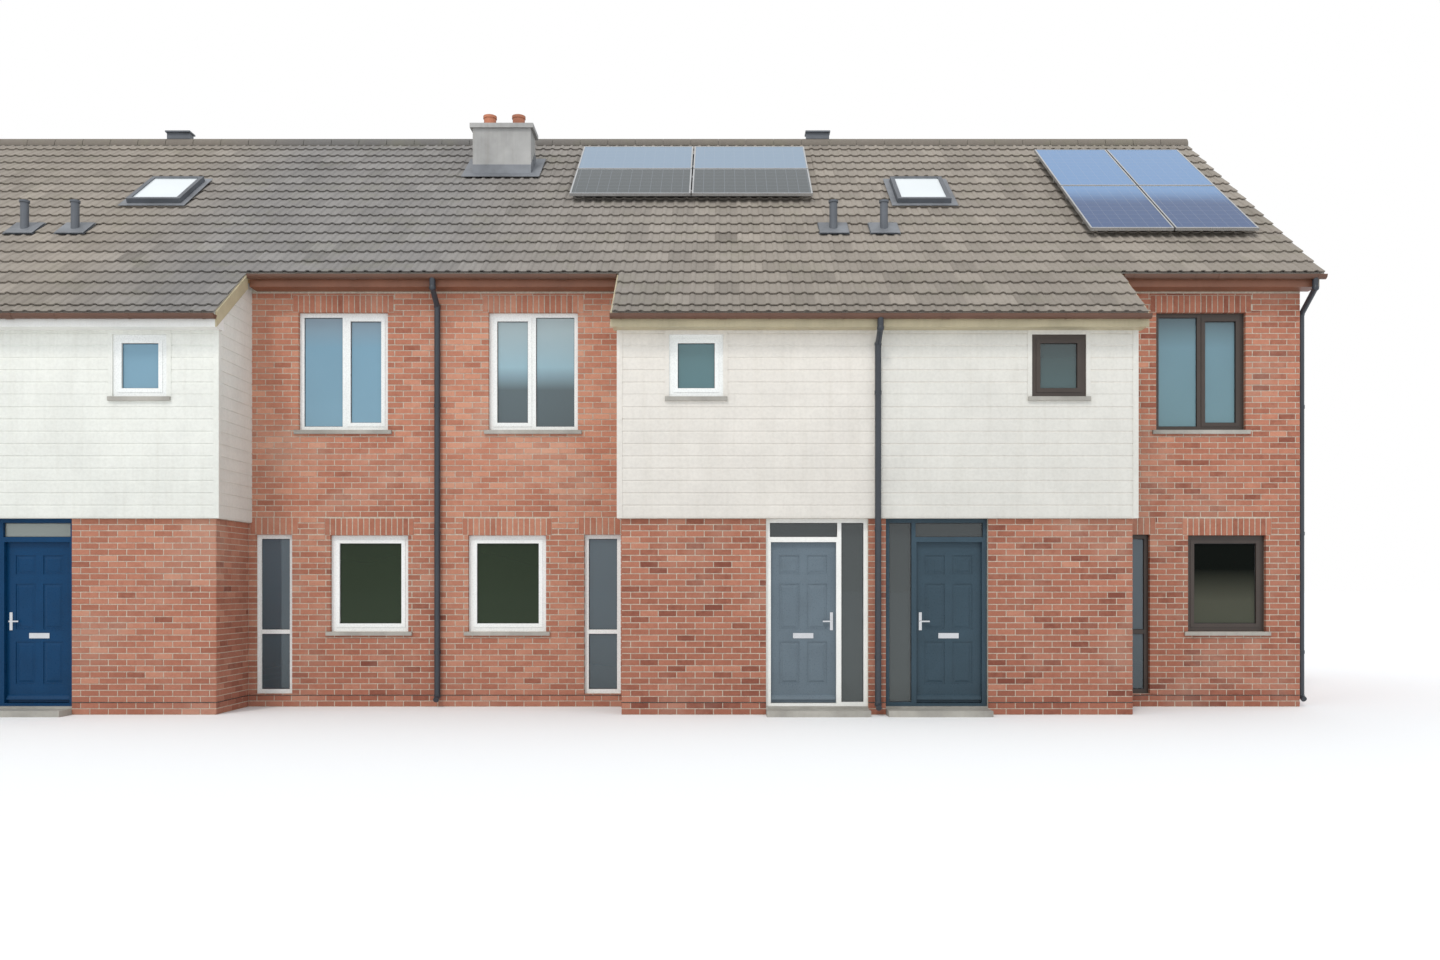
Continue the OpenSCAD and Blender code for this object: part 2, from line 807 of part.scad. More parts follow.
module roof_window_glass() {
    f = 60;
    color("lightblue")
        for (i = roof_windows)
            on_slope(roof_win_x(i), roof_win_up + f, roof_win_w - 2 * f, roof_win_l - 2 * f,
                roof_win_out - 15 - glass_t, roof_win_out - 15);
}

// Arrays as [middle across the house, lower edge up the slope, panel width, panel length, columns, rows]
house_3_array = [3260, 2640, 1762, 1134, 2, 2];
house_4_array = [1340, 1220, 1134, 1762, 2, 2];
panel_joint = 20;

module panels(x_mid, a) {
    step_w = a[2] + panel_joint;
    step_l = a[3] + panel_joint;
    for (c = [0 : a[4] - 1]) for (r = [0 : a[5] - 1])
        on_slope(x_mid + (c - (a[4] - 1) / 2) * step_w, a[1] + r * step_l, a[2], a[3],
            panel_gap + seat_gap, panel_gap + panel_t);
}

house_3_array_x = house_3_array[0];
house_4_array_x = 2 * house_w - house_4_array[0];

module house_3_solar_panels() {
    color("darkslategray") panels(house_3_array_x, house_3_array);
}

module house_4_solar_panels() {
    color("steelblue") panels(house_4_array_x, house_4_array);
}

// Two rails under each row of panels, on feet that stand on the tiles
module rails(x_mid, a) {
    step_l = a[3] + panel_joint;
    rail = 40;
    total = a[4] * a[2] + (a[4] - 1) * panel_joint;
    for (r = [0 : a[5] - 1]) for (share = [0.22, 0.78]) {
        up = a[1] + r * step_l + share * a[3] - rail / 2;
        on_slope(x_mid, up, total, rail, panel_gap - rail, panel_gap);
        for (x = [-total / 2 + 200, 0, total / 2 - 200])
            on_slope(x_mid + x, up, rail, rail, seat_gap, panel_gap - rail + eps);
    }
}

module solar_rails() {
    color("lightgray") {
        rails(house_3_array_x, house_3_array);
        rails(house_4_array_x, house_4_array);
    }
}

// Soil vents through the tiles beside the party lines by the doors, each with a lead slate
module vent_pipes() {
    y = slope_y(vent_up);
    slate = 420;
    color("gray")
        for (s = [-1, 1]) for (t = [-1, 1]) {
            x = s * house_w + t * vent_off;
            on_slope(x, vent_up - slate / 2, slate, slate, seat_gap, 5);
            difference() {
                translate([x, y, tile_top(y) - 2 * vent_r]) cylinder(h = vent_h + 2 * vent_r, r = vent_r);
                on_slope(x, vent_up - slate / 2, slate, slate, -4 * vent_r, seat_gap);
            }
            translate([x, y, tile_top(y) + vent_h]) cylinder(h = 30, r = vent_r + 12);
        }
}

// A gas flue terminal on the ridge beside each party line by the doors, saddled over its tile
module ridge_terminals() {
    length = 380;
    half = 105;
    crown = ridge_z + ridge_r - ridge_r * rise * slope;
    color("dimgray")
        for (s = [-1, 1])
            translate([s * (house_w - terminal_off), 0, 0]) {
                difference() {
                    block(-length / 2, length / 2, ridge_y - half + 35, ridge_y + half - 35,
                        crown - 15, crown + 85);
                    translate([-length, ridge_y, crown - ridge_r]) rotate([0, 90, 0])
                        cylinder(h = 2 * length, r = ridge_r);
                }
                block(-length / 2 - 15, length / 2 + 15, ridge_y - half, ridge_y + half,
                    crown + 85, crown + 110);
            }
}

// Windows

// A frame ring with its outer face at y = 0, its lower left corner at the origin
module ring(w, h, face, y0, y1) {
    difference() {
        translate([0, y0, 0]) cube([w, y1 - y0, h]);
        translate([face, y0 - eps, face]) cube([w - 2 * face, y1 - y0 + 2 * eps, h - 2 * face]);
    }
}

// A window of equal lights side by side. Lights named in casements have an opening casement's ring.
function light_w(w, n) = (w - (n + 1) * bar_w) / n;
function light_x(w, n, k) = bar_w + k * (light_w(w, n) + bar_w);

module window_frame(w, h, n, casements, cross_bar = 0) {
    ring(w, h, bar_w, 0, frame_d);
    if (n > 1) for (k = [1 : n - 1])
        translate([light_x(w, n, k) - bar_w, 0, bar_w - eps])
            cube([bar_w, frame_d, h - 2 * bar_w + 2 * eps]);
    if (cross_bar > 0)
        translate([bar_w - eps, 0, cross_bar]) cube([w - 2 * bar_w + 2 * eps, frame_d, bar_w]);
    for (k = casements) translate([light_x(w, n, k), 0, bar_w])
        ring(light_w(w, n), h - 2 * bar_w, casement_w, -casement_out, frame_d - casement_out);
}

module window_panes(w, h, n, casements, cross_bar = 0) {
    y = (frame_d - glass_t) / 2;
    for (k = [0 : n - 1]) {
        inset = len(search(k, casements)) > 0 ? casement_w : 0;
        difference() {
            translate([light_x(w, n, k) + inset, y, bar_w + inset])
                cube([light_w(w, n) - 2 * inset, glass_t, h - 2 * bar_w - 2 * inset]);
            if (cross_bar > 0) translate([0, -eps, cross_bar]) cube([w, frame_d + 2 * eps, bar_w]);
        }
    }
}

// The windows of a house's front: [place across, sill, face, width, height, lights, casements, cross bar]
bay_face = bay_y + reveal;
board_face = front_y - boarding_t + 10;
front_windows = [
    [u_bay_up, bay_up_sill, bay_face, bay_up_w, bay_up_h, 2, [0], 0],
    [bay_low_off, bay_low_sill, bay_face, bay_low_w, bay_low_h, 1, [0], 0],
    [u_slot, slot_sill, bay_face, slot_w, slot_h, 1, [], 780],
    [u_small, small_sill, board_face, small_w, small_h, 1, [0], 0]
];

module front_frames(i) {
    in_house(i) for (f = front_windows)
        translate([f[0], f[2], f[1]]) window_frame(f[3], f[4], f[5], f[6], f[7]);
}

module white_window_frames() {
    color("whitesmoke") for (i = [0, 1, 2]) front_frames(i);
}

module dark_window_frames() {
    color("saddlebrown") front_frames(3);
}

module front_window_glass() {
    color("lightblue")
        for (i = houses) in_house(i) for (f = front_windows)
            translate([f[0], f[2], f[1]]) window_panes(f[3], f[4], f[5], f[6], f[7]);
}

rear_windows = [
    [rear_first_off, rear_up_sill, rear_up_w, rear_up_h, 2, [0]],
    [u_rear_second, rear_up_sill, rear_up_w, rear_up_h, 2, [0]],
    [rear_first_off, rear_low_sill, rear_low_w, rear_low_h, 3, [0]]
];

// Children drawn as if on the front, turned to face the rear
module rear_face() {
    translate([0, rear_y, 0]) mirror([0, 1, 0]) children();
}

module rear_window_frames() {
    color("whitesmoke")
        rear_face() for (i = houses) in_house(i) for (f = rear_windows)
            translate([f[0], reveal, f[1]]) window_frame(f[2], f[3], f[4], f[5]);
}

module rear_window_glass() {
    color("lightblue")
        rear_face() for (i = houses) in_house(i) {
            for (f = rear_windows) translate([f[0], reveal, f[1]]) window_panes(f[2], f[3], f[4], f[5]);
            translate([u_rear_door, reveal, ground_floor_h]) rear_door_pane();
        }
}

// A sill under a window of width w, its front at -sill_out, running back under the frame
module sill(w) {
    translate([-sill_ear, -sill_out, -sill_t]) cube([w + 2 * sill_ear, sill_out, sill_t]);
}

module window_sills() {
    color("lightgray") {
        for (i = houses) in_house(i) {
            translate([u_bay_up, bay_y, bay_up_sill]) sill(bay_up_w);
            translate([bay_low_off, bay_y, bay_low_sill]) sill(bay_low_w);
            translate([u_small, front_y - boarding_t, small_sill]) sill(small_w);
        }
        rear_face() for (i = houses) in_house(i) for (f = rear_windows)
            translate([f[0], 0, f[1]]) sill(f[2]);
    }
}

// Rear doors, half glazed, in their frames
rear_glass_low = 1000;
rear_stile = 120;

module rear_door_pane() {
    x = post_w + rear_stile;
    translate([x, (frame_d - glass_t) / 2, rear_glass_low])
        cube([rear_door_w - 2 * x, glass_t, rear_door_h - post_w - rear_stile - rear_glass_low]);
}

module rear_doors() {
    x = post_w + rear_stile;
    color("whitesmoke")
        rear_face() for (i = houses) in_house(i)
            translate([u_rear_door, reveal, ground_floor_h]) {
                difference() {
                    cube([rear_door_w, frame_d, rear_door_h]);
                    translate([x, -eps, rear_glass_low])
                        cube([rear_door_w - 2 * x, frame_d + 2 * eps,
                            rear_door_h - post_w - rear_stile - rear_glass_low]);
                    translate([post_w, -eps, threshold_h])
                        cube([rear_door_w - 2 * post_w, 12 + eps, rear_door_h - post_w - threshold_h]);
                    translate([x, -eps, threshold_h + rear_stile])
                        cube([rear_door_w - 2 * x, 24, rear_glass_low - 2 * rear_stile - threshold_h]);
                }
                translate([rear_door_w - post_w - 75, 12 - 50, handle_h - 15]) cube([22, 50 + eps, 30]);
                translate([rear_door_w - post_w - 175, 12 - 50, handle_h - 8]) cube([122, 16, 16]);
            }
}

module doorsteps() {
    color("darkgray") {
        for (i = houses) in_house(i)
            block(u_set_out, u_set_in, front_y - step_d, front_y, 0, step_h);
        rear_face() for (i = houses) in_house(i)
            block(u_rear_door - 100, u_rear_door + rear_door_w + 100, -step_d, 0, 0, step_h);
    }
}

// Front doors

door_y = front_y + reveal;
leaf_in_y = door_y + post_d;
leaf_out_y = leaf_in_y - leaf_t;
stop_back_y = leaf_out_y - leaf_gap;
u_jamb = u_set_out + post_w;
u_leaf = u_jamb + leaf_gap;
u_mullion = u_leaf + leaf_w + latch_gap;
leaf_low = ground_floor_h + threshold_h + leaf_gap;
transom_high = board_base_h - post_w - top_light_h;
transom_low = transom_high - post_w;
leaf_high = transom_low - leaf_gap;
leaf_h = leaf_high - leaf_low;
// The hinge line stands just inside the leaf's inner face, over the gap at the jamb
hinge_u = u_jamb + leaf_gap / 2;
hinge_y = leaf_in_y + knuckle_r + 1;
hinge_heights = [leaf_low + leaf_h * 0.12, leaf_low + leaf_h * 0.48, leaf_low + leaf_h * 0.88];

module door_frame(i) {
    head_low = board_base_h - post_w;
    low = ground_floor_h;
    in_house(i) {
        difference() {
            block(u_set_out, u_set_in, door_y, leaf_in_y, low, board_base_h);
            block(u_jamb, u_mullion, door_y - eps, leaf_in_y + eps, low + threshold_h, transom_low);
            block(u_jamb, u_mullion, door_y - eps, leaf_in_y + eps, transom_high, head_low);
            block(u_mullion + post_w, u_set_in - post_w, door_y - eps, leaf_in_y + eps,
                low + post_w, head_low);
        }
        door_stops();
        for (z = hinge_heights) for (low = [z - knuckle_h * 3 / 2, z + knuckle_h / 2 + 2]) {
            translate([hinge_u, hinge_y, low]) cylinder(h = knuckle_h, r = knuckle_r);
            block(u_jamb - 30, hinge_u, leaf_in_y - eps, leaf_in_y + 3, low, low + knuckle_h);
        }
    }
}

// Stops in front of the leaf, fused with the posts and the transom
module door_stops() {
    low = ground_floor_h + threshold_h;
    block(u_jamb - eps, u_jamb + stop_w, door_y, stop_back_y, low - eps, transom_low + eps);
    block(u_mullion - stop_w, u_mullion + eps, door_y, stop_back_y, low - eps, transom_low + eps);
    block(u_jamb, u_mullion, door_y, stop_back_y, transom_low - stop_w, transom_low + eps);
}

module house_1_door_frame() {
    color("white") door_frame(0);
}

module house_2_door_frame() {
    color("midnightblue") door_frame(1);
}

module house_3_door_frame() {
    color("white") door_frame(2);
}

module house_4_door_frame() {
    color("darkslategray") door_frame(3);
}

module door_set_glass() {
    y = door_y + (post_d - glass_t) / 2;
    head_low = board_base_h - post_w;
    color("lightblue")
        for (i = houses) in_house(i) {
            block(u_mullion + post_w, u_set_in - post_w, y, y + glass_t,
                ground_floor_h + post_w, head_low);
            block(u_jamb, u_mullion, y, y + glass_t, transom_high, head_low);
        }
}

// Sunk panels of the front doors: rows of two, as [lower height, height] above the leaf's foot
panel_rows = [
    [leaf_h * 0.116, leaf_h * 0.262], [leaf_h * 0.455, leaf_h * 0.283],
    [leaf_h * 0.798, leaf_h * 0.116]
];
panel_sink = 9;

module door_leaf() {
    stile = 115;
    middle = 95;
    panel_w = (leaf_w - 2 * stile - middle) / 2;
    difference() {
        block(u_leaf, u_leaf + leaf_w, leaf_out_y, leaf_in_y, leaf_low, leaf_high);
        for (row = panel_rows) for (x = [stile, stile + panel_w + middle])
            for (y = [leaf_out_y - panel_sink, leaf_in_y - panel_sink])
                translate([u_leaf + x, y, leaf_low + row[0]])
                    cube([panel_w, 2 * panel_sink, row[1]]);
        for (row = panel_rows) for (x = [stile, stile + panel_w + middle])
            for (y = [leaf_out_y, leaf_in_y]) translate([u_leaf + x, y, leaf_low + row[0]]) children();
    }
}

// Lever handles and a letter plate on both faces, and the leaf's hinge knuckles, which rest on the frame's
module door_fittings() {
    u_lock = u_leaf + leaf_w - 60;
    z = leaf_low + handle_h;
    out = 45;
    for (side = [-1, 1]) {
        face = side < 0 ? leaf_out_y : leaf_in_y;
        translate([u_lock, face, z]) scale_y(side) {
            translate([-18, 0, -110]) cube([36, 8, 220]);
            rotate([-90, 0, 0]) cylinder(h = out, r = 9);
            translate([-110, out - 14, -9]) cube([119, 14, 18]);
        }
        translate([u_leaf + leaf_w / 2, face, leaf_low + 790]) scale_y(side)
            translate([-125, 0, 0]) cube([250, 7, 65]);
    }
    for (h = hinge_heights) {
        translate([hinge_u, hinge_y, h - knuckle_h / 2]) cylinder(h = knuckle_h, r = knuckle_r);
        block(hinge_u, u_leaf + 35, leaf_in_y, leaf_in_y + 3, h - knuckle_h / 2, h + knuckle_h / 2);
    }
}

// Children turned about a face so that their +Y points out of it
module scale_y(side) {
    if (side > 0) children();
    else mirror([0, 1, 0]) children();
}

module house_1_front_door() {
    color("white") in_house(0) {
        door_leaf();
        door_fittings();
    }
}

module house_2_front_door() {
    color("navy") in_house(1) door_leaf();
}

module house_3_front_door() {
    color("lightsteelblue") in_house(2) door_leaf();
}

module house_4_front_door() {
    color("darkslateblue") in_house(3) door_leaf();
}

module house_2_door_fittings() {
    color("silver") in_house(1) door_fittings();
}

module house_3_door_fittings() {
    color("silver") in_house(2) door_fittings();
}

module house_4_door_fittings() {
    color("silver") in_house(3) door_fittings();
}

ground_floor_slabs();
first_floors();
loft_floors();
party_walls();
left_gable_wall();
right_gable_wall();
bay_walls();
ground_floor_piers();
projection_side_walls();
boarded_front_walls();
rear_wall();
left_boarding();
right_boarding();
front_roof_deck();
rear_roof_deck();
front_roof_tiles();
rear_roof_tiles();
ridge_tiles();
verge_boards();
left_eave_boards();
right_eave_boards();
rear_eave_boards();
gutters();
downpipes();
chimney_stack();
chimney_pots();
roof_window_frames();
roof_window_glass();
house_3_solar_panels();
house_4_solar_panels();
solar_rails();
vent_pipes();
ridge_terminals();
white_window_frames();
dark_window_frames();
front_window_glass();
rear_window_frames();
rear_window_glass();
window_sills();
rear_doors();
doorsteps();
house_1_door_frame();
house_2_door_frame();
house_3_door_frame();
house_4_door_frame();
door_set_glass();
house_1_front_door();
house_2_front_door();
house_3_front_door();
house_4_front_door();
house_2_door_fittings();
house_3_door_fittings();
house_4_door_fittings();
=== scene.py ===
import math
import random

import bmesh
import bpy
import numpy as np
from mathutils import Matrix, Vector


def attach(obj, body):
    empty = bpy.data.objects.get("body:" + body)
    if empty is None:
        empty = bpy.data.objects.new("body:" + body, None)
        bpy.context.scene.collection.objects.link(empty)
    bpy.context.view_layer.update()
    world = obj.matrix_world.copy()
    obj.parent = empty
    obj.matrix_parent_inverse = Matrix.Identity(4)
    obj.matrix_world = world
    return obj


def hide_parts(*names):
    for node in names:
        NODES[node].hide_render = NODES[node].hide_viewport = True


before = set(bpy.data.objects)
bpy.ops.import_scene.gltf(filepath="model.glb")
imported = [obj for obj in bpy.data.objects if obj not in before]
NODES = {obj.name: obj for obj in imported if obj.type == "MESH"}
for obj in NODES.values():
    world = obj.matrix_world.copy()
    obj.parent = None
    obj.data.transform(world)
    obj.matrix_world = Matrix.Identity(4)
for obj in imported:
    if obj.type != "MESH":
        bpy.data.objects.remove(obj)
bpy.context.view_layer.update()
rnd = random.Random(7)

# The row's own sizes in metres, as in the CAD. X runs along the row, Y from the street to the rear
HOUSE, BAY, PARTY_HALF = 5.6, 2.48, 0.1075
FRONT_Y, BAY_Y, REAR_Y = -4.635, -3.665, 4.635
RIDGE_Y = (BAY_Y + REAR_Y) / 2
PITCH = math.radians(37)
SLOPE, COS, SIN = math.tan(PITCH), math.cos(PITCH), math.sin(PITCH)
EAVE_Z, OVER = 5.61, 0.3
RIDGE_Z = EAVE_Z + (RIDGE_Y - BAY_Y + OVER) * SLOPE
END_X, VERGE_X, VERGE_BOARD = 11.25, 11.43, 0.072
LAP, SKIN = 0.095, 0.045
JUT = HOUSE - BAY
SEAM = JUT + LAP
BOARD_Z, STOREY_Z = 2.4, 2.6
SOFFIT_DROP, DECK_DROP = 0.19, 0.1906
SOFFIT_BAY = EAVE_Z - SOFFIT_DROP
SOFFIT_JUT = EAVE_Z - (BAY_Y - FRONT_Y) * SLOPE - SOFFIT_DROP
DOOR_SET_W = 1.25
SET_OUT = HOUSE - PARTY_HALF - DOOR_SET_W

# Houses 1 to 4: the x at the bay's end of each, from which its widths u run, and their direction
BAY_X = (-2 * HOUSE, 0.0, 0.0, 2 * HOUSE)
HAND = (1, -1, 1, -1)

# Openings of each house as (u, u, z, z)
UPPER_WINDOW = ((BAY - 1.17) / 2, (BAY + 1.17) / 2, 3.61, 5.15)
LOWER_WINDOW = (0.39, 1.41, 0.98, 2.24)
TALL_WINDOW = (BAY - 0.575, BAY - 0.095, 0.17, 2.25)
SMALL_WINDOW = (HOUSE - 2.54, HOUSE - 1.88, 3.88, 4.64)
REAR_OPENINGS = ((0.8, 2.0, 3.8, 5.0), (HOUSE - 2.1, HOUSE - 0.9, 3.8, 5.0), (0.8, 2.58, 1.0, 2.2),
                 (HOUSE - 1.82, HOUSE - 0.9, 0.1, 2.2))

# The roof's length up the slope, its lower edge over the boarded fronts, and its windows as (x, x, s, s)
LENGTH = (RIDGE_Y - BAY_Y + OVER) / COS
EDGE = -(BAY_Y - FRONT_Y) / COS
ROOF_WINDOWS = [(side * HOUSE + 0.67, side * HOUSE + 1.43, 2.54, 3.52) for side in (-1, 1)]


def at(i, u):
    """The x of a width u of house i."""
    return BAY_X[i] + HAND[i] * u


def span(i, a, b):
    """The stretch of x between two widths of house i."""
    return tuple(sorted((at(i, a), at(i, b))))


def opening(i, a, b, z0, z1):
    """An opening of house i as (x, x, z, z)."""
    return (*span(i, a, b), z0, z1)


def tile_top(y):
    """The height of the tiles over y."""
    return RIDGE_Z - abs(y - RIDGE_Y) * SLOPE


def deck_under(y):
    """The height of the roof deck's underside over y."""
    return tile_top(y) - DECK_DROP


def slope_point(x, s, n, rear=False):
    """A point over a roof slope: s up from the main eave along it, n square to it."""
    y = BAY_Y - OVER + s * COS - n * SIN
    z = EAVE_Z + s * SIN + n * COS
    return (x, 2 * RIDGE_Y - y, z) if rear else (x, y, z)


def s_of(y):
    """The distance up the front slope of a point over y."""
    return (y - BAY_Y + OVER) / COS


# Geometry


class Bag:
    """Collects the solids and patches of one piece, with a tint for each."""

    def __init__(self):
        self.verts, self.faces, self.tints = [], [], []

    def add(self, verts, faces, tint=0.5):
        n = len(self.verts)
        self.verts += verts
        self.tints += [tint] * len(verts)
        self.faces += [tuple(n + i for i in face) for face in faces]

    def prism(self, front, back, tint=0.5):
        """A solid between two matching outlines."""
        n = len(front)
        sides = [(i, (i + 1) % n, n + (i + 1) % n, n + i) for i in range(n)]
        ends = [tuple(reversed(range(n))), tuple(range(n, 2 * n))]
        self.add(list(front) + list(back), sides + ends, tint)

    def box(self, lo, hi):
        (a, b, c), (d, e, f) = lo, hi
        self.prism(*[[(a, b, z), (d, b, z), (d, e, z), (a, e, z)] for z in (c, f)])

    def make(self, name, material, body="row", closed=True):
        """Links the piece to the scene. The faces of closed solids are turned outwards."""
        mesh = bpy.data.meshes.new(name)
        mesh.from_pydata(self.verts, [], self.faces)
        tint = mesh.attributes.new("tint", "FLOAT", "POINT")
        tint.data.foreach_set("value", np.array(self.tints, np.float32))
        if closed:
            bm = bmesh.new()
            bm.from_mesh(mesh)
            bmesh.ops.recalc_face_normals(bm, faces=bm.faces)
            bm.to_mesh(mesh)
            bm.free()
        mesh.update()
        mesh.materials.append(material)
        piece = bpy.data.objects.new(name, mesh)
        bpy.context.scene.collection.objects.link(piece)
        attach(piece, body)
        return piece


def less(rect, holes):
    """The rectangles (a, a, b, b) that holes leave of one."""
    rects = [rect]
    for h0, h1, k0, k1 in holes:
        left = []
        for a0, a1, b0, b1 in rects:
            if h1 <= a0 or h0 >= a1 or k1 <= b0 or k0 >= b1:
                left.append((a0, a1, b0, b1))
                continue
            lo, hi = max(b0, k0), min(b1, k1)
            round_hole = ((a0, a1, b0, k0), (a0, a1, k1, b1), (a0, h0, lo, hi), (h1, a1, lo, hi))
            left += [r for r in round_hole if r[0] < r[1] and r[2] < r[3]]
        rects = left
    return rects


def grow(rect, by):
    """A rectangle made larger on each side, or smaller where by is negative."""
    a, b, c, d = rect
    return a - by, b + by, c - by, d + by


def quad(place, rect, depth):
    """The corners of a rectangle (u, u, v, v), put in their places by place(u, depth, v)."""
    a, b, c, d = rect
    return [place(a, depth, c), place(b, depth, c), place(b, depth, d), place(a, depth, d)]


def along(y, sign=1.0):
    """A face that runs along X and looks towards the street, or for sign -1 towards the rear."""
    return lambda u, depth, z: (u, y + sign * depth, z)


def across(x, sign):
    """A face that runs along Y and looks left for sign -1, or right for 1."""
    return lambda u, depth, z: (x - sign * depth, u, z)


def layer(bag, rect, n0, n1, rear=False, holes=()):
    """A sheet on a roof slope over (x, x, s, s), between two heights square to it."""
    def place(x, n, s):
        return slope_point(x, s, n, rear)

    for part in less(rect, holes):
        bag.prism(quad(place, part, n0), quad(place, part, n1))


# Materials, whose colours are written in 0 to 255
BLACK, WHITE = (0, 0, 0, 1), (1, 1, 1, 1)


def grey(v):
    return v, v, v, 1


def linear(colour):
    """The linear colour that nodes take."""
    parts = [v / 255 for v in colour]
    return tuple(v / 12.92 if v <= 0.04045 else ((v + 0.055) / 1.055) ** 2.4 for v in parts) + (1,)


def shade(colour, k):
    return tuple(min(255, v * k) for v in colour)


def new_material(name):
    material = bpy.data.materials.new(name)
    material.use_nodes = True
    tree = material.node_tree
    tree.nodes.clear()
    out = tree.nodes.new("ShaderNodeOutputMaterial")
    bsdf = tree.nodes.new("ShaderNodeBsdfPrincipled")
    tree.links.new(bsdf.outputs["BSDF"], out.inputs["Surface"])
    return material, tree, bsdf


def settle(node, **values):
    """Sets a node's inputs, with an underscore for each space in their names."""
    for name, value in values.items():
        node.inputs[name.replace("_", " ")].default_value = value


def coordinates(tree):
    """The x, y and z of a point."""
    place = tree.nodes.new("ShaderNodeTexCoord")
    split = tree.nodes.new("ShaderNodeSeparateXYZ")
    tree.links.new(place.outputs["Object"], split.inputs[0])
    return split.outputs


def noise(tree, scale, detail=4.0, rough=0.6, stretch=(1, 1, 1)):
    place = tree.nodes.new("ShaderNodeTexCoord")
    mapping = tree.nodes.new("ShaderNodeMapping")
    settle(mapping, Scale=stretch)
    tree.links.new(place.outputs["Object"], mapping.inputs["Vector"])
    node = tree.nodes.new("ShaderNodeTexNoise")
    settle(node, Scale=scale, Detail=detail, Roughness=rough)
    tree.links.new(mapping.outputs["Vector"], node.inputs["Vector"])
    return node.outputs["Fac"]


def ramp(tree, fac, stops):
    node = tree.nodes.new("ShaderNodeValToRGB")
    elements = node.color_ramp.elements
    while len(elements) < len(stops):
        elements.new(0.5)
    for element, (position, colour) in zip(elements, stops):
        element.position = position
        element.color = colour
    tree.links.new(fac, node.inputs["Fac"])
    return node.outputs["Color"]


def fill(tree, node, values):
    """Sets or links numbered inputs of a node."""
    for number, value in values:
        if isinstance(value, (float, int, tuple)):
            node.inputs[number].default_value = value
        else:
            tree.links.new(value, node.inputs[number])


def mix(tree, a, b, fac, mode="MIX"):
    """Two colours mixed. The node's colours are its inputs 6 and 7, and its output 2."""
    node = tree.nodes.new("ShaderNodeMix")
    node.data_type = "RGBA"
    node.blend_type = mode
    fill(tree, node, ((0, fac), (6, a), (7, b)))
    return node.outputs[2]


def darken(tree, colour, by, amount=1.0):
    return mix(tree, colour, by, amount, "MULTIPLY")


def calc(tree, operation, a, b=0.0):
    node = tree.nodes.new("ShaderNodeMath")
    node.operation = operation
    fill(tree, node, ((0, a), (1, b)))
    return node.outputs[0]


def swing(tree, fac, width):
    """Noise about nought, width wide."""
    return calc(tree, "MULTIPLY", calc(tree, "SUBTRACT", fac, 0.5), width)


def bump(tree, bsdf, height, strength, distance=0.004):
    node = tree.nodes.new("ShaderNodeBump")
    settle(node, Strength=strength, Distance=distance)
    tree.links.new(height, node.inputs["Height"])
    tree.links.new(node.outputs["Normal"], bsdf.inputs["Normal"])


def by_height(tree, stops):
    """Colours that follow the height of a point."""
    low, high = stops[0][0], stops[-1][0]
    z = coordinates(tree)[2]
    share = calc(tree, "DIVIDE", calc(tree, "SUBTRACT", z, low), high - low)
    return ramp(tree, share, [((at_z - low) / (high - low), linear(colour)) for at_z, colour in stops])


def surface(name, colour, rough=0.6, vary=0.08, scale=2.0, grain=60.0, relief=0.15, metallic=0.0, coat=0.0,
            streak=0.0, shine=0.5, wash=None):
    """A finish with broad tone changes and fine grain, and rain streaks or a wash by height where asked. On
    the boards that wash is painted light, paler towards the top.
    """
    material, tree, bsdf = new_material(name)
    ends = [(0.3, linear(shade(colour, 1 - vary))), (0.7, linear(shade(colour, 1 + vary)))]
    tone = ramp(tree, noise(tree, scale), ends)
    fine = noise(tree, grain, 3.0)
    tone = darken(tree, tone, ramp(tree, fine, [(0.35, grey(0.9)), (0.6, WHITE)]), 0.6)
    if streak:
        rain = noise(tree, 3.0, 3.0, 0.6, (6, 6, 0.35))
        tone = darken(tree, tone, ramp(tree, rain, [(0.45, WHITE), (0.75, (0.8, 0.78, 0.74, 1))]), streak)
    if wash:
        tone = darken(tree, tone, by_height(tree, wash))
    tree.links.new(tone, bsdf.inputs["Base Color"])
    dull = ramp(tree, fine, [(0.3, grey(rough * 0.85)), (0.7, grey(min(1, rough * 1.15)))])
    tree.links.new(dull, bsdf.inputs["Roughness"])
    settle(bsdf, Metallic=metallic, Coat_Weight=coat, Specular_IOR_Level=shine)
    if relief:
        bump(tree, bsdf, fine, relief)
    return material


def own_tint(tree, width):
    """The tint of each brick or tile, which varies a little within it."""
    tint = tree.nodes.new("ShaderNodeAttribute")
    tint.attribute_name = "tint"
    return calc(tree, "ADD", tint.outputs["Fac"], swing(tree, noise(tree, 14.0, 3.0), width))


def weather(tree, bsdf, tone, grain, grit, amount, bloom, wash, rough):
    """Grain, pale or green bloom in patches and a wash by height over the tone of bricks or tiles."""
    fine = noise(tree, grain, 5.0)
    tone = darken(tree, tone, ramp(tree, fine, [(0.3, grit), (0.55, WHITE)]), amount)
    scale, low, high, colour, strength = bloom
    patch = ramp(tree, noise(tree, scale, 6.0, 0.65), [(low, BLACK), (high, WHITE)])
    tone = mix(tree, tone, linear(colour), calc(tree, "MULTIPLY", patch, strength))
    tree.links.new(darken(tree, tone, by_height(tree, wash)), bsdf.inputs["Base Color"])
    settle(bsdf, Roughness=rough, Specular_IOR_Level=0.3)
    bump(tree, bsdf, fine, 0.4)


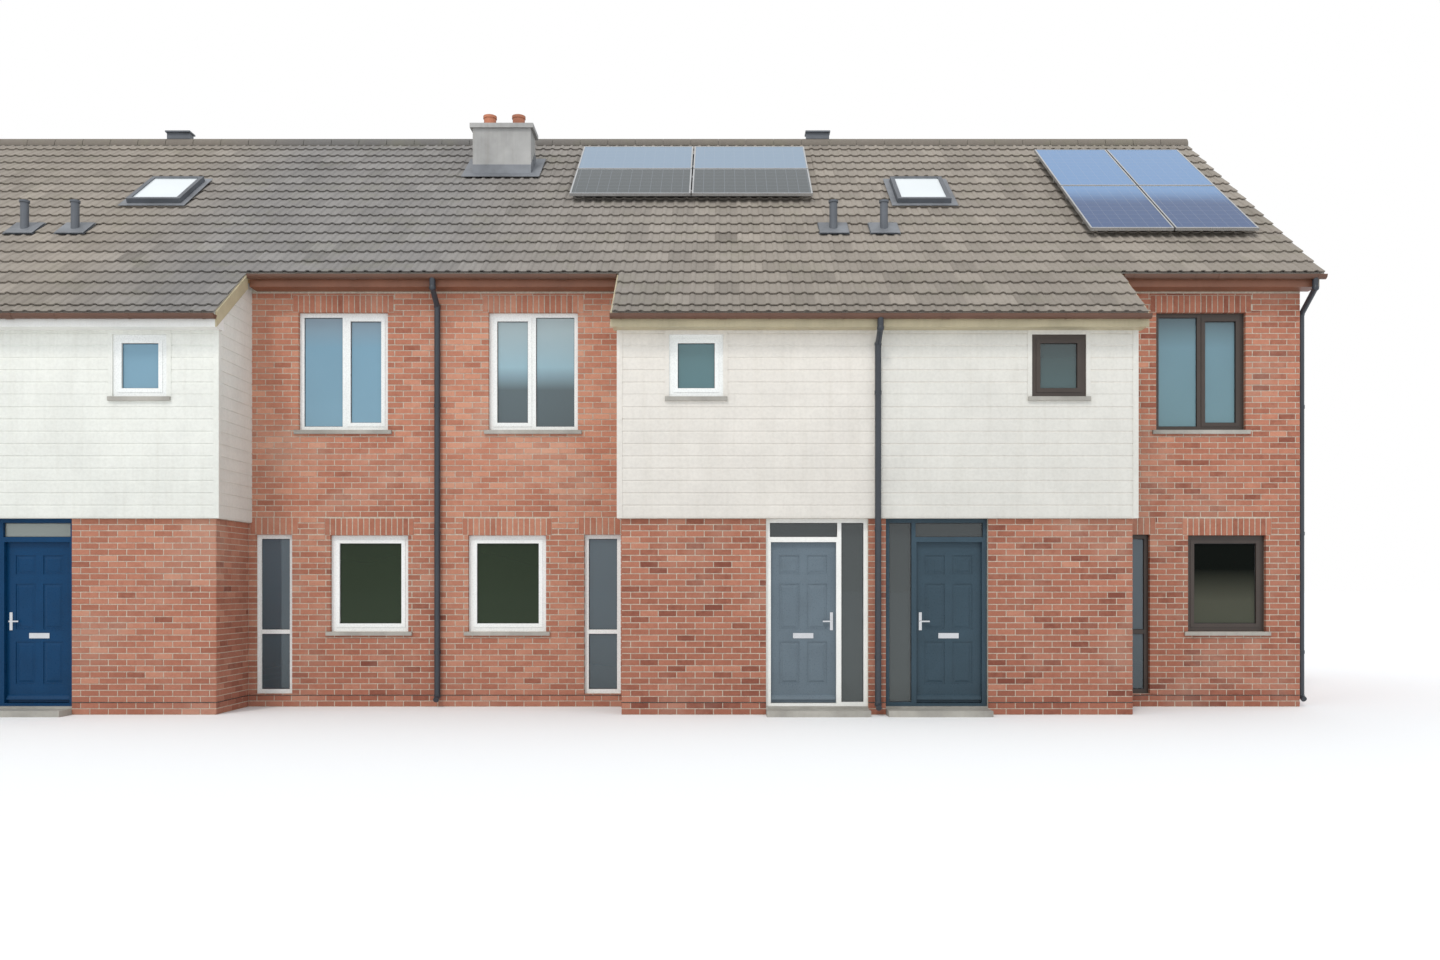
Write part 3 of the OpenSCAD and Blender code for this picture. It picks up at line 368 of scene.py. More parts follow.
def brick_material():
    """Red facing bricks, darker towards the ground."""
    material, tree, bsdf = new_material("facing brick")
    tones = ((0.0, (134, 78, 62)), (0.3, (168, 108, 86)), (0.65, (184, 122, 98)), (1.0, (202, 144, 118)))
    tone = ramp(tree, own_tint(tree, 0.5), [(t, linear(colour)) for t, colour in tones])
    ground_darkening = ((0.0, (226, 222, 224)), (0.5, (232, 229, 230)), (2.4, (240, 239, 239)), (3.4, (255, 255, 255)))
    bloom = (1.2, 0.5, 0.72, (210, 188, 168), 0.22)
    weather(tree, bsdf, tone, 90.0, (0.74, 0.72, 0.7, 1), 0.55, bloom, ground_darkening, 0.88)
    return material


def tile_material():
    """Concrete tiles, cooler and darker about house 2 than towards the ends of the row."""
    material, tree, bsdf = new_material("concrete tile")
    tint = own_tint(tree, 0.4)
    warm, cool = [ramp(tree, tint, [(k / 2, linear(colour)) for k, colour in enumerate(tones)]) for tones in (
        ((124, 116, 107), (148, 139, 129), (172, 162, 150)),
        ((112, 109, 106), (134, 130, 127), (155, 151, 147)))]
    cool_x, cool_run = -4.7, 8.9
    share = calc(tree, "DIVIDE", calc(tree, "SUBTRACT", coordinates(tree)[0], cool_x), cool_run)
    here = ramp(tree, share, [(0.0, BLACK), (0.19, WHITE), (0.5, WHITE), (0.64, grey(0.55)), (1.0, BLACK)])
    bloom = (2.2, 0.52, 0.75, (128, 126, 104), 0.3)
    eaves = ((4.8, (243, 243, 243)), (5.4, (246, 246, 246)), (5.9, (255, 255, 255)))
    weather(tree, bsdf, mix(tree, warm, cool, here), 70.0, (0.78, 0.76, 0.74, 1), 0.5, bloom, eaves, 0.92)
    return material


def wall_material():
    """Mortar outside and plaster inside, told apart by where a point lies."""
    material, tree, bsdf = new_material("mortar and plaster")
    plaster_in = 0.292
    x, y, _ = coordinates(tree)
    x = calc(tree, "ABSOLUTE", x)
    from_party = calc(tree, "ABSOLUTE", calc(tree, "SUBTRACT", x, HOUSE))
    behind_bays = calc(tree, "GREATER_THAN", y, BAY_Y + plaster_in)
    between = calc(tree, "MULTIPLY", behind_bays, calc(tree, "LESS_THAN", y, REAR_Y - plaster_in))
    block = calc(tree, "MULTIPLY", between, calc(tree, "LESS_THAN", x, END_X - plaster_in))
    behind_front = calc(tree, "GREATER_THAN", y, FRONT_Y + plaster_in)
    jut = calc(tree, "MULTIPLY", behind_front, calc(tree, "LESS_THAN", from_party, JUT - plaster_in))
    fine = noise(tree, 40.0, 4.0)
    mortar = ramp(tree, fine, [(0.3, linear((172, 160, 144))), (0.7, linear((205, 195, 178)))])
    plaster = ramp(tree, noise(tree, 3.0), [(0.3, linear((214, 210, 200))), (0.7, linear((228, 224, 215)))])
    tree.links.new(mix(tree, mortar, plaster, calc(tree, "MAXIMUM", block, jut)), bsdf.inputs["Base Color"])
    settle(bsdf, Roughness=0.9)
    bump(tree, bsdf, fine, 0.3, 0.003)
    return material


def glass_material(name, stops, see, rough=0.03, shine=0.8):
    """Clear units whose colour by height is painted: a painted reflection of the sky where pale and painted
    shade of the room where dark, under a real gloss; some of the room is seen through them.
    """
    material, tree, bsdf = new_material(name)
    wave = ramp(tree, noise(tree, 0.9, 1.0), [(0.3, grey(0.93)), (0.7, WHITE)])
    tree.links.new(darken(tree, by_height(tree, stops), wave), bsdf.inputs["Base Color"])
    settle(bsdf, Roughness=rough, Specular_IOR_Level=shine, IOR=1.5)
    clear = tree.nodes.new("ShaderNodeBsdfTransparent")
    settle(clear, Color=(0.75, 0.8, 0.8, 1))
    both = tree.nodes.new("ShaderNodeMixShader")
    fill(tree, both, ((0, see), (1, bsdf.outputs["BSDF"]), (2, clear.outputs["BSDF"])))
    out = next(node for node in tree.nodes if node.type == "OUTPUT_MATERIAL")
    tree.links.new(both.outputs["Shader"], out.inputs["Surface"])
    return material


def solar_material(name, low, high, z0, z1, ragged):
    """Dark cells in a fine grid under glass, of the low tone below z0 and the high one above z1: both tones
    are painted reflections, the high one of the sky on the upper modules.
    """
    material, tree, bsdf = new_material(name)
    cell, line = 0.156, 0.03
    x, _, z = coordinates(tree)
    up = tree.nodes.new("ShaderNodeMapRange")
    up.interpolation_type = "SMOOTHSTEP"
    settle(up, From_Min=z0, From_Max=z1)
    tree.links.new(calc(tree, "ADD", z, swing(tree, noise(tree, 1.3, 3.0), ragged)), up.inputs["Value"])
    tone = mix(tree, linear(low), linear(high), up.outputs[0])
    lines = [calc(tree, "LESS_THAN", calc(tree, "FRACT", calc(tree, "DIVIDE", v, step)), line)
             for v, step in ((x, cell), (z, cell * SIN))]
    grid = calc(tree, "MULTIPLY", calc(tree, "MAXIMUM", *lines), 0.35)
    tree.links.new(mix(tree, tone, linear((150, 158, 170)), grid), bsdf.inputs["Base Color"])
    dull = ramp(tree, noise(tree, 30.0), [(0.3, grey(0.12)), (0.7, grey(0.2))])
    tree.links.new(dull, bsdf.inputs["Roughness"])
    settle(bsdf, Specular_IOR_Level=0.25)
    return material


BRICK = brick_material()
TILE = tile_material()
WALL = wall_material()
# Painted light on the boards: paler towards the top, lifting the shade under the eaves
PAINTED_LIGHT_UPWARD = [(z, (v, v, v)) for z, v in ((2.7, 242), (3.9, 249), (4.4, 255))]
BOARD_TONES = ((226, 225, 218), (230, 230, 222), (224, 218, 209), (218, 215, 207))
BOARD = [surface("boards house %d" % (i + 1), colour, rough=0.5, vary=0.02, grain=25.0, relief=0.08,
                 streak=0.2, wash=PAINTED_LIGHT_UPWARD) for i, colour in enumerate(BOARD_TONES)]
CONCRETE = surface("concrete", (160, 156, 148), rough=0.9, vary=0.1, grain=80.0, relief=0.4, streak=0.3)
TIMBER = surface("bare timber", (196, 166, 122), rough=0.8, vary=0.12, scale=1.0, grain=30.0)
PAINT_WHITE = surface("white paint", (234, 233, 228), rough=0.35, vary=0.02, relief=0.03, streak=0.15)
PAINT_OLIVE = surface("olive brown paint", (185, 173, 142), rough=0.45, vary=0.06, relief=0.05, streak=0.3)
PAINT_BROWN = surface("brown paint", (130, 84, 62), rough=0.5, vary=0.06, relief=0.05, streak=0.3)
PIPE = surface("dark grey pipes", (50, 55, 62), rough=0.38, vary=0.06, relief=0.03)
GUTTER = surface("brown gutters", (98, 66, 50), rough=0.4, vary=0.06, relief=0.03)
RENDER = surface("pale render", (171, 169, 166), rough=0.9, vary=0.08, grain=120.0, relief=0.5, streak=0.5)
CLAY = surface("fired clay", (176, 112, 84), rough=0.7, vary=0.12, grain=50.0)
METAL = surface("dark flashing", (98, 102, 108), rough=0.5, vary=0.08, metallic=0.4)
LEAD = surface("lead", (128, 131, 136), rough=0.6, vary=0.12, metallic=0.5, grain=20.0, relief=0.3)
RAIL = surface("aluminium", (186, 188, 190), rough=0.3, vary=0.04, metallic=0.9, relief=0.03)
UPVC = surface("white frames", (236, 237, 234), rough=0.28, vary=0.015, relief=0.02, coat=0.2)
BROWN = surface("brown frames", (62, 52, 46), rough=0.4, vary=0.08, relief=0.05)
GASKET = surface("black gaskets", (38, 38, 40), rough=0.6, vary=0.1)
NAVY = surface("navy paint", (12, 57, 93), rough=0.3, vary=0.05, relief=0.03, shine=0.15)
PALE_BLUE = surface("pale blue paint", (96, 109, 118), rough=0.3, vary=0.04, relief=0.03, shine=0.3)
SLATE = surface("slate paint", (54, 72, 83), rough=0.3, vary=0.05, relief=0.03, shine=0.2)
CHROME = surface("polished fittings", (205, 205, 207), rough=0.14, vary=0.02, metallic=1.0, relief=0.0)
MORTAR = surface("bedding mortar", (166, 160, 150), rough=0.95, vary=0.08, grain=90.0, relief=0.5)

# Upstairs the glass of each house has a painted reflection of the sky in tones of its own, and downstairs it
# is painted dark: painted shade of the rooms with a green-tinged painted reflection
GLASS_UP = [glass_material("upper glass %d" % (i + 1), stops, 0.22) for i, stops in enumerate((
    [(3.6, (128, 158, 174)), (5.2, (140, 158, 170))],
    [(3.6, (130, 170, 190)), (4.7, (128, 170, 192)), (5.2, (146, 158, 168))],
    [(3.6, (84, 98, 103)), (4.15, (91, 106, 111)), (4.45, (161, 194, 206)), (5.2, (182, 193, 193))],
    [(3.6, (113, 149, 158)), (4.7, (113, 149, 162)), (5.2, (82, 97, 101))]))]
GLASS_SMALL = [glass_material("small glass 3", [(3.8, (84, 122, 128)), (4.7, (90, 122, 126))], 0.15),
               glass_material("small glass 4", [(3.8, (70, 96, 98)), (4.7, (62, 74, 74))], 0.15)]
# The side light, door, top light, rear and roof window glass too have painted reflections and painted shade
# by height
GLASS_TALL = glass_material("side light glass", [(0.1, (70, 84, 90)), (2.3, (92, 108, 118))], 0.2)
GLASS_LOW = glass_material("lower glass", [(0.9, (46, 58, 40)), (2.3, (36, 48, 32))], 0.06, 0.06, 0.2)
GLASS_LOW_4 = glass_material("lower glass 4", [(0.9, (80, 83, 71)), (1.38, (78, 79, 68)),
                                               (1.8, (12, 16, 13))], 0.02, 0.06, 0.04)
GLASS_DOOR = glass_material("door set glass", [(0.1, (68, 75, 74)), (2.4, (58, 65, 66))], 0.15)
GLASS_TOP = glass_material("top light glass", [(2.1, (148, 154, 148)), (2.4, (150, 156, 150))], 0.15)
GLASS_REAR = glass_material("rear glass", [(0.1, (84, 100, 108)), (5.2, (120, 144, 158))], 0.25)
GLASS_ROOF = glass_material("roof window glass", [(7.0, (222, 228, 230)), (7.9, (228, 232, 233))], 0.05)
# The modules' pale upper tones are a painted reflection of the sky, the dark lower ones a painted dark
# reflection
SOLAR_3 = solar_material("solar house 3", (56, 64, 67), (116, 137, 157), 7.96, 7.98, 0.0)
SOLAR_4 = solar_material("solar house 4", (32, 67, 112), (89, 128, 171), 7.0, 7.42, 0.2)

# Slot names for the materials of the new pieces
SLOTS = {BRICK: "brick_red", TILE: "roof_tile", PAINT_WHITE: "board_white", PAINT_OLIVE: "board_olive",
         RAIL: "rail_metal", LEAD: "flashing_grey", PIPE: "pipe_grey", GUTTER: "pipe_grey", NAVY: "door_navy",
         PALE_BLUE: "door_pale_blue", SLATE: "door_slate", **dict.fromkeys(BOARD, "boarding_white")}

# Finishes of the CAD nodes


def dress(name, *materials, pick=lambda mesh, face: 0):
    """Gives a CAD node its materials. pick(mesh, face) is the number of the one that a face has."""
    mesh = NODES[name].data
    mesh.materials.clear()
    for material in materials:
        mesh.materials.append(material)
    for face in mesh.polygons:
        face.material_index = pick(mesh, face)


FINISH = {
    WALL: "party_walls left_gable_wall right_gable_wall bay_walls ground_floor_piers projection_side_walls "
          "rear_wall boarded_front_walls",
    CONCRETE: "ground_floor_slabs window_sills doorsteps",
    TIMBER: "first_floors loft_floors front_roof_deck rear_roof_deck",
    BOARD[1]: "left_boarding",
    BOARD[2]: "right_boarding",
    TILE: "ridge_tiles front_roof_tiles rear_roof_tiles",
    PAINT_OLIVE: "verge_boards",
    PAINT_WHITE: "left_eave_boards rear_eave_boards house_1_front_door rear_doors house_1_door_frame "
                 "house_3_door_frame",
    PIPE: "downpipes",
    GUTTER: "gutters",
    RENDER: "chimney_stack",
    CLAY: "chimney_pots",
    METAL: "roof_window_frames vent_pipes ridge_terminals",
    RAIL: "solar_rails",
    UPVC: "white_window_frames rear_window_frames",
    BROWN: "dark_window_frames",
    GLASS_ROOF: "roof_window_glass",
    GLASS_REAR: "rear_window_glass",
    NAVY: "house_2_door_frame house_2_front_door",
    SLATE: "house_4_door_frame house_4_front_door",
    PALE_BLUE: "house_3_front_door",
    CHROME: "house_2_door_fittings house_3_door_fittings house_4_door_fittings",
}
for material, names in FINISH.items():
    for name in names.split():
        dress(name, material)


def over_bay(mesh, face):
    """Whether an eave board is over a bay, and not over a boarded front."""
    x, _, z = face.center
    return int(z > SOFFIT_JUT + 0.3 and abs(abs(x) - HOUSE) > JUT)


FRONT_GLASS = (*GLASS_UP, *GLASS_SMALL, GLASS_TALL, GLASS_LOW, GLASS_LOW_4)


def front_glass(mesh, face):
    """The glass of a front window by house, storey and kind of window."""
    x, _, z = face.center
    i = min(3, max(0, int((x + 2 * HOUSE) // HOUSE)))
    u = abs(x - BAY_X[i])
    if z > STOREY_Z:
        glass = GLASS_SMALL[i - 2] if u > BAY and i > 1 else GLASS_UP[i]
    elif u > (LOWER_WINDOW[1] + TALL_WINDOW[0]) / 2:
        glass = GLASS_TALL
    else:
        glass = GLASS_LOW_4 if i == 3 else GLASS_LOW
    return FRONT_GLASS.index(glass)


def house_2_top_light(mesh, face):
    """Whether a pane is the top light over house 2's door, whose glass has a painted reflection of the sky.
    """
    low = min(mesh.vertices[k].co[2] for k in face.vertices)
    return int(-HOUSE < face.center[0] < 0 and low > 2.1)


def module_edge(mesh, face):
    """Whether a face of a solar module is one of its metal edges or its back."""
    return int(face.normal[2] * COS - face.normal[1] * SIN <= 0.9)


dress("right_eave_boards", PAINT_OLIVE, PAINT_BROWN, pick=over_bay)
dress("front_window_glass", *FRONT_GLASS, pick=front_glass)
dress("door_set_glass", GLASS_DOOR, GLASS_TOP, pick=house_2_top_light)
dress("house_3_solar_panels", SOLAR_3, RAIL, pick=module_edge)
dress("house_4_solar_panels", SOLAR_4, RAIL, pick=module_edge)

# Brickwork, each brick standing a few millimetres out of the mortar
COURSE, BRICK_STEP, JOINT = 0.075, 0.225, 0.01
PROUD, ARRIS, REVEAL, WRAP = 0.005, 0.002, 0.05, 0.003
SOLDIER_H, BEARING = 0.225, 0.075
SHORTEST, LOWEST, SLIVER, TINY = 0.02, 0.015, 0.012, 1e-6
BRICK_FACES = [(0, 1, 2, 3), (0, 4, 5, 1), (1, 5, 6, 2), (2, 6, 7, 3), (3, 7, 4, 0)]


def even(x):
    """Brickwork of one tone."""
    return 0.0


def front_tone(x):
    """How much paler, or darker where negative, the front's brick is at x than elsewhere. From -BAY to -1.6
    the paleness is painted light, lifting the shadow that house 2's projection casts on its bay.
    """
    for end, tone in ((-BAY, 0.06), (-1.6, 0.15), (0.0, 0.0), (BAY, 0.2)):
        if x < end:
            return tone
    return -0.13


def brick(bag, place, rect, deep, mean, spread, tone):
    """One brick of a face, whose sides run into the wall by deep."""
    outer = quad(place, grow(rect, -ARRIS), -PROUD * rnd.uniform(0.7, 1.15))
    bag.add(outer + quad(place, rect, deep), BRICK_FACES, rnd.gauss(mean, spread) + tone(rect[0]))


def meet(rect, holes):
    """A brick beside an opening wraps round its edge and fills the reveal."""
    a, b, c, d = rect
    deep = 0.0
    for h0, h1, k0, k1 in holes:
        if c >= k1 or d <= k0:
            continue
        if abs(a - h1) < TINY:
            a, deep = a - WRAP, REVEAL
        if abs(b - h0) < TINY:
            b, deep = b + WRAP, REVEAL
    return (a, b, c, d), deep


def lay(bag, place, u0, u1, top, holes, shift, tone):
    """Stretcher bond on one face. place(u, depth, z) gives a point, and top(u) the highest edge over u."""
    courses = int(max(top(u0), top(u1), top((u0 + u1) / 2)) / COURSE) + 1
    for k in range(courses):
        low = k * COURSE + JOINT / 2
        u = u0 - (BRICK_STEP / 2 if k % 2 else 0.0) + shift
        while u > u0:
            u -= BRICK_STEP
        while u < u1:
            a, b = max(u, u0), min(u + BRICK_STEP - JOINT, u1)
            u += BRICK_STEP
            high = min(low + COURSE - JOINT, top(a), top(b))
            if b - a < SHORTEST or high - low < LOWEST:
                continue
            for rect in less((a, b, low, high), holes):
                if rect[1] - rect[0] >= SLIVER and rect[3] - rect[2] >= SLIVER:
                    brick(bag, place, *meet(rect, holes), 0.52, 0.17, tone)


def over(hole):
    """The place of the upright course over an opening."""
    return hole[0] - BEARING, hole[1] + BEARING, hole[3], hole[3] + SOLDIER_H


def soldiers(bag, place, hole, tone):
    """A course of upright bricks over an opening, turned a little way into its head."""
    a, b, z0, z1 = over(hole)
    n = round((b - a) / COURSE)
    step = (b - a) / n
    for k in range(n):
        left, right = a + k * step + JOINT / 2, a + (k + 1) * step - JOINT / 2
        inside = left > hole[0] - JOINT and right < hole[1] + JOINT
        rect = (left, right, z0 - WRAP if inside else z0 + JOINT / 2, z1 - JOINT / 2)
        brick(bag, place, rect, REVEAL if inside else 0.0, 0.5, 0.15, tone)


damp = Bag()


def damp_course(place, u0, u1, holes):
    """The dark edge of the damp-proof course, two courses up."""
    thick, out = 0.006, 0.0065
    for rect in less((u0, u1, 2 * COURSE - thick / 2, 2 * COURSE + thick / 2), holes):
        damp.prism(quad(place, rect, -out), quad(place, rect, 0.0))


def wall_face(bag, place, u0, u1, top, holes=(), shift=0.0, tone=even):
    """All the brickwork of one face, round those of the openings (u, u, z, z) that lie in it."""
    holes = [h for h in holes if u0 < (h[0] + h[1]) / 2 < u1]
    lay(bag, place, u0, u1, top, holes + [over(h) for h in holes], shift, tone)
    for hole in holes:
        soldiers(bag, place, hole, tone)
    damp_course(place, u0, u1, holes)


def under_soffit(u):
    return SOFFIT_BAY - 0.002


def under_boards(u):
    return BOARD_Z - 0.004


def under_deck(y):
    return deck_under(y) - 0.008


bay_holes = [opening(i, *w) for i in range(4) for w in (UPPER_WINDOW, LOWER_WINDOW, TALL_WINDOW)]
bag = Bag()
end_bay = 2 * HOUSE - BAY + PROUD
for x0, x1 in ((-BAY + PROUD, BAY - PROUD), (-END_X, -end_bay), (end_bay, END_X)):
    wall_face(bag, along(BAY_Y), x0, x1, under_soffit, bay_holes, tone=front_tone)
for i in range(4):
    wall_face(bag, along(FRONT_Y), *span(i, BAY, SET_OUT), under_boards, tone=front_tone)
    wall_face(bag, across(at(i, BAY), -HAND[i]), FRONT_Y, BAY_Y - PROUD, under_boards)
for x in (-HOUSE, HOUSE):
    wall_face(bag, along(FRONT_Y), x - PARTY_HALF, x + PARTY_HALF, under_boards, tone=front_tone)
bag.make("front_bricks", BRICK, closed=False)

bag = Bag()
rear_holes = [opening(i, *w) for i in range(4) for w in REAR_OPENINGS]
wall_face(bag, along(REAR_Y, -1.0), -END_X, END_X, under_soffit, rear_holes)
bag.make("rear_bricks", BRICK, closed=False)

bag = Bag()
for side in (-1, 1):
    wall_face(bag, across(side * END_X, side), BAY_Y, REAR_Y, under_deck, shift=0.06)
bag.make("gable_bricks", BRICK, closed=False)
damp.make("damp_course", GASKET)

# Boarding, with trims at the corners, round the small windows and at the party line
BOARD_STEP, BOARD_OUT, TRIM, TRIM_OUT, PARTY_TRIM = 0.15, 0.006, 0.055, 0.012, 0.045
GROOVE_Z, GROOVE_OUT, GROOVE_GAP, SHORT_BOARD = 0.128, 0.002, 0.008, 0.01
BOARDS_Z = BOARD_Z + TRIM_OUT
SKIN_Y = FRONT_Y - SKIN


def board_front(bag, x0, x1, hole):
    """Lapped boards on the front of a projecting part."""
    z = BOARDS_Z
    while z < SOFFIT_JUT - 0.02:
        top = min(z + BOARD_STEP, SOFFIT_JUT)
        tint = rnd.random()
        for a, b, c, d in less((x0, x1, z, top), [hole]):
            if b - a < SHORT_BOARD or d - c < SHORT_BOARD:
                continue
            outline = [(0.0, c), (BOARD_OUT, c), (BOARD_OUT, d), (0.0, d)]
            if d - c > BOARD_STEP - 0.004:
                outline = [(0.0, c + 0.001), (BOARD_OUT, c + 0.003), (BOARD_OUT, d - 0.024),
                           (0.0035, d - 0.014), (0.0005, d - 0.009)]
            bag.prism(*[[(x, SKIN_Y - p, q) for p, q in outline] for x in (a, b)], tint)
        z = top


def board_side(bag, x, sign):
    """Boards on the side of a projecting part, cut off under the roof."""
    end = BAY_Y - 0.002
    high = deck_under(end)

    def start(z):
        if z <= SOFFIT_JUT:
            return SKIN_Y
        if z <= deck_under(FRONT_Y):
            return FRONT_Y
        return min(end, RIDGE_Y - (RIDGE_Z - DECK_DROP - z) / SLOPE)

    z = BOARDS_Z
    while z < high - 0.02:
        top = min(z + BOARD_STEP, high)
        groove = min(top, z + GROOVE_Z)
        for c, d, out in ((z + 0.002, groove, BOARD_OUT), (groove, top - GROOVE_GAP, GROOVE_OUT)):
            if d - c < 0.004:
                continue
            cuts = sorted({c, d, *[q for q in (SOFFIT_JUT, deck_under(FRONT_Y)) if c < q < d]})
            for low, up in zip(cuts, cuts[1:]):
                a, b = start(low + 1e-5), start(up - 1e-5)
                if end - a >= SHORT_BOARD:
                    outline = [(a, low), (end, low), (end, up), (b, up)]
                    bag.prism([(x + sign * out, y, q) for y, q in outline], [(x, y, q) for y, q in outline])
        z = top


def trim(bag, x0, x1, z0, z1):
    """A flat trim on the boarded front."""
    bag.box((x0, SKIN_Y - TRIM_OUT, z0), (x1, SKIN_Y, z1))


for i in range(4):
    bag = Bag()
    window = opening(i, *SMALL_WINDOW)
    a, b, c, d = window
    rim = grow(window, TRIM)
    corner = BAY - SKIN
    board_front(bag, *span(i, corner, HOUSE), rim)
    board_side(bag, at(i, corner), -HAND[i])
    for x0, x1, z0, z1 in ((rim[0], a, rim[2], rim[3]), (b, rim[1], rim[2], rim[3]), (a, b, d, rim[3]),
                           (a, b, rim[2], c - 0.05)):
        trim(bag, x0, x1, z0, z1)
    outline = [(corner + TRIM, 0.0), (corner + TRIM, -TRIM_OUT), (corner - TRIM_OUT, -TRIM_OUT),
               (corner - TRIM_OUT, TRIM), (corner, TRIM), (corner, 0.0)]
    bag.prism(*[[(at(i, u), SKIN_Y + depth, z) for u, depth in outline] for z in (BOARD_Z, SOFFIT_JUT)])
    trim(bag, *span(i, corner + TRIM, HOUSE - PARTY_TRIM), BOARD_Z, BOARDS_Z)
    trim(bag, *span(i, HOUSE - PARTY_TRIM, HOUSE), BOARD_Z, SOFFIT_JUT)
    bag.make("boards_house_%d" % (i + 1), BOARD[i])

# Roof tiles. Each has two rolls, given as shares of its width and heights
GAUGE, TILE_W = LENGTH / 16, 0.3
TILT, SUNK, BUTT = 0.024, 0.026, 0.016
ROLL = [(0.0, 0.0), (0.05, 0.011), (0.1, 0.017), (0.15, 0.017), (0.2, 0.011), (0.25, 0.0)]
ROLLS = ROLL + [(t + 0.5, h) for t, h in ROLL] + [(1.0, 0.0)]


def roll(t):
    """The height of a tile's rolls at a share t of its width."""
    for (a, p), (b, q) in zip(ROLLS, ROLLS[1:]):
        if a <= t <= b:
            return p + (q - p) * (t - a) / (b - a)
    return 0.0


def tile(bag, x0, w, s0, s1, rect, rear, tint):
    """The part inside rect (x, x, s, s) of a tile that is w wide and runs from s0 to s1."""
    xa, xb, sa, sb = rect
    ts = sorted({(xa - x0) / w, (xb - x0) / w, *[t for t, _ in ROLLS if xa < x0 + t * w < xb]})
    n = len(ts)

    def edge(s, lift):
        return [slope_point(x0 + t * w, s, lift + roll(t), rear) for t in ts]

    low, high = [TILT * (s1 - s) / GAUGE - SUNK for s in (sa, sb)]
    verts = edge(sa, low) + edge(sb, high)
    faces = [(i, i + 1, n + i + 1, n + i) for i in range(n - 1)]
    if abs(sa - s0) < TINY:
        verts += edge(sa + 0.002, low - BUTT)
        faces += [(2 * n + i, 2 * n + i + 1, i + 1, i) for i in range(n - 1)]
    bag.add(verts, [tuple(reversed(f)) for f in faces] if rear else faces, tint)


def tile_roof(bag, x0, x1, s_low, rear=False, holes=()):
    """Courses of tiles from the ridge down to s_low."""
    columns = round((x1 - x0) / TILE_W)
    w = (x1 - x0) / columns
    top = LENGTH
    while top > s_low + 0.02:
        low = max(top - GAUGE, s_low)
        for x in [x0 + c * w for c in range(columns)]:
            tint = rnd.gauss(0.5, 0.1)
            for r in less((x, x + w, low, top), holes):
                if r[1] - r[0] > 1e-4 and r[3] - r[2] > 1e-4:
                    tile(bag, x, w, low, top, r, rear, tint)
        top -= GAUGE


bag = Bag()
for x0, x1, low in ((-VERGE_X, -HOUSE - SEAM, 0.0), (-HOUSE - SEAM, -HOUSE + SEAM, EDGE),
                    (-HOUSE + SEAM, HOUSE - SEAM, 0.0), (HOUSE - SEAM, HOUSE + SEAM, EDGE),
                    (HOUSE + SEAM, VERGE_X, 0.0)):
    tile_roof(bag, x0, x1, low, holes=ROOF_WINDOWS)
front_tiles = bag.make("front_tiles", TILE, closed=False)
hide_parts("front_roof_tiles")

bag = Bag()
tile_roof(bag, -VERGE_X, VERGE_X, 0.0, rear=True)
rear_tiles = bag.make("rear_tiles", TILE, closed=False)
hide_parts("rear_roof_tiles")

# Undercloak and bedding that close the tiles' edges
BED_LOW, BED_HIGH = -0.039, -0.0275
bag = Bag()
whole = (-VERGE_X + 0.002, VERGE_X - 0.002, 0.004, LENGTH - 0.002)
layer(bag, whole, BED_LOW, BED_HIGH, holes=[grow(window, 0.01) for window in ROOF_WINDOWS])
layer(bag, whole, BED_LOW, BED_HIGH, rear=True)
for x in (-HOUSE, HOUSE):
    layer(bag, (x - SEAM + 0.002, x + SEAM - 0.002, EDGE + 0.004, 0.004), BED_LOW, BED_HIGH)
bag.make("tile_bedding", MORTAR)

# Mortar under the ridge tiles and in their joints
radius, half, centre_z = 0.122, 0.118, RIDGE_Z - 0.125 * SIN
angles = [math.radians(a) for a in range(50, 131, 10)]
arc = [(radius * math.cos(a), centre_z + radius * math.sin(a)) for a in angles]
foot_z = tile_top(RIDGE_Y + half) - 0.03
outline = [(half, foot_z), *arc, (-half, foot_z)]
bag = Bag()
bag.prism(*[[(x, RIDGE_Y + p, z) for p, z in outline] for x in (-VERGE_X + 0.004, VERGE_X - 0.004)])
bag.make("ridge_mortar", MORTAR)

# Boards under the deck at the verges
board_n, board_t = -DECK_DROP * COS - 0.0005, 0.009
for side, word, paint in ((-1, "left", PAINT_WHITE), (1, "right", PAINT_OLIVE)):
    bag = Bag()
    a, b = sorted((side * (END_X + 0.006), side * (VERGE_X - VERGE_BOARD)))
    for rear in (False, True):
        layer(bag, (a, b, s_of(BAY_Y) + 0.02, LENGTH - 0.1), board_n - board_t, board_n, rear)
    for t in (-1, 1):
        a, b = sorted((side * HOUSE + t * (JUT + SKIN + 0.008), side * HOUSE + t * SEAM))
        layer(bag, (a, b, s_of(FRONT_Y) + 0.02, s_of(BAY_Y) - 0.02), board_n - board_t, board_n)
    bag.make("verge_soffits_" + word, paint)

# Metal rims of the solar modules, which lie two by two with a gap between them
MODULE_L, MODULE_W, GAP, RIM = 1.762, 1.134, 0.02, 0.022
bag = Bag()
for middle, low, w, h in ((3.26, 2.64, MODULE_L, MODULE_W), (2 * HOUSE - 1.34, 1.22, MODULE_W, MODULE_L)):
    for column in (-0.5, 0.5):
        for row in (0, 1):
            x0, s0 = middle + column * (w + GAP) - w / 2, low + row * (h + GAP)
            module = (x0, x0 + w, s0, s0 + h)
            layer(bag, module, 0.119, 0.1225, holes=[grow(module, -RIM)])
bag.make("solar_panel_rims", RAIL)

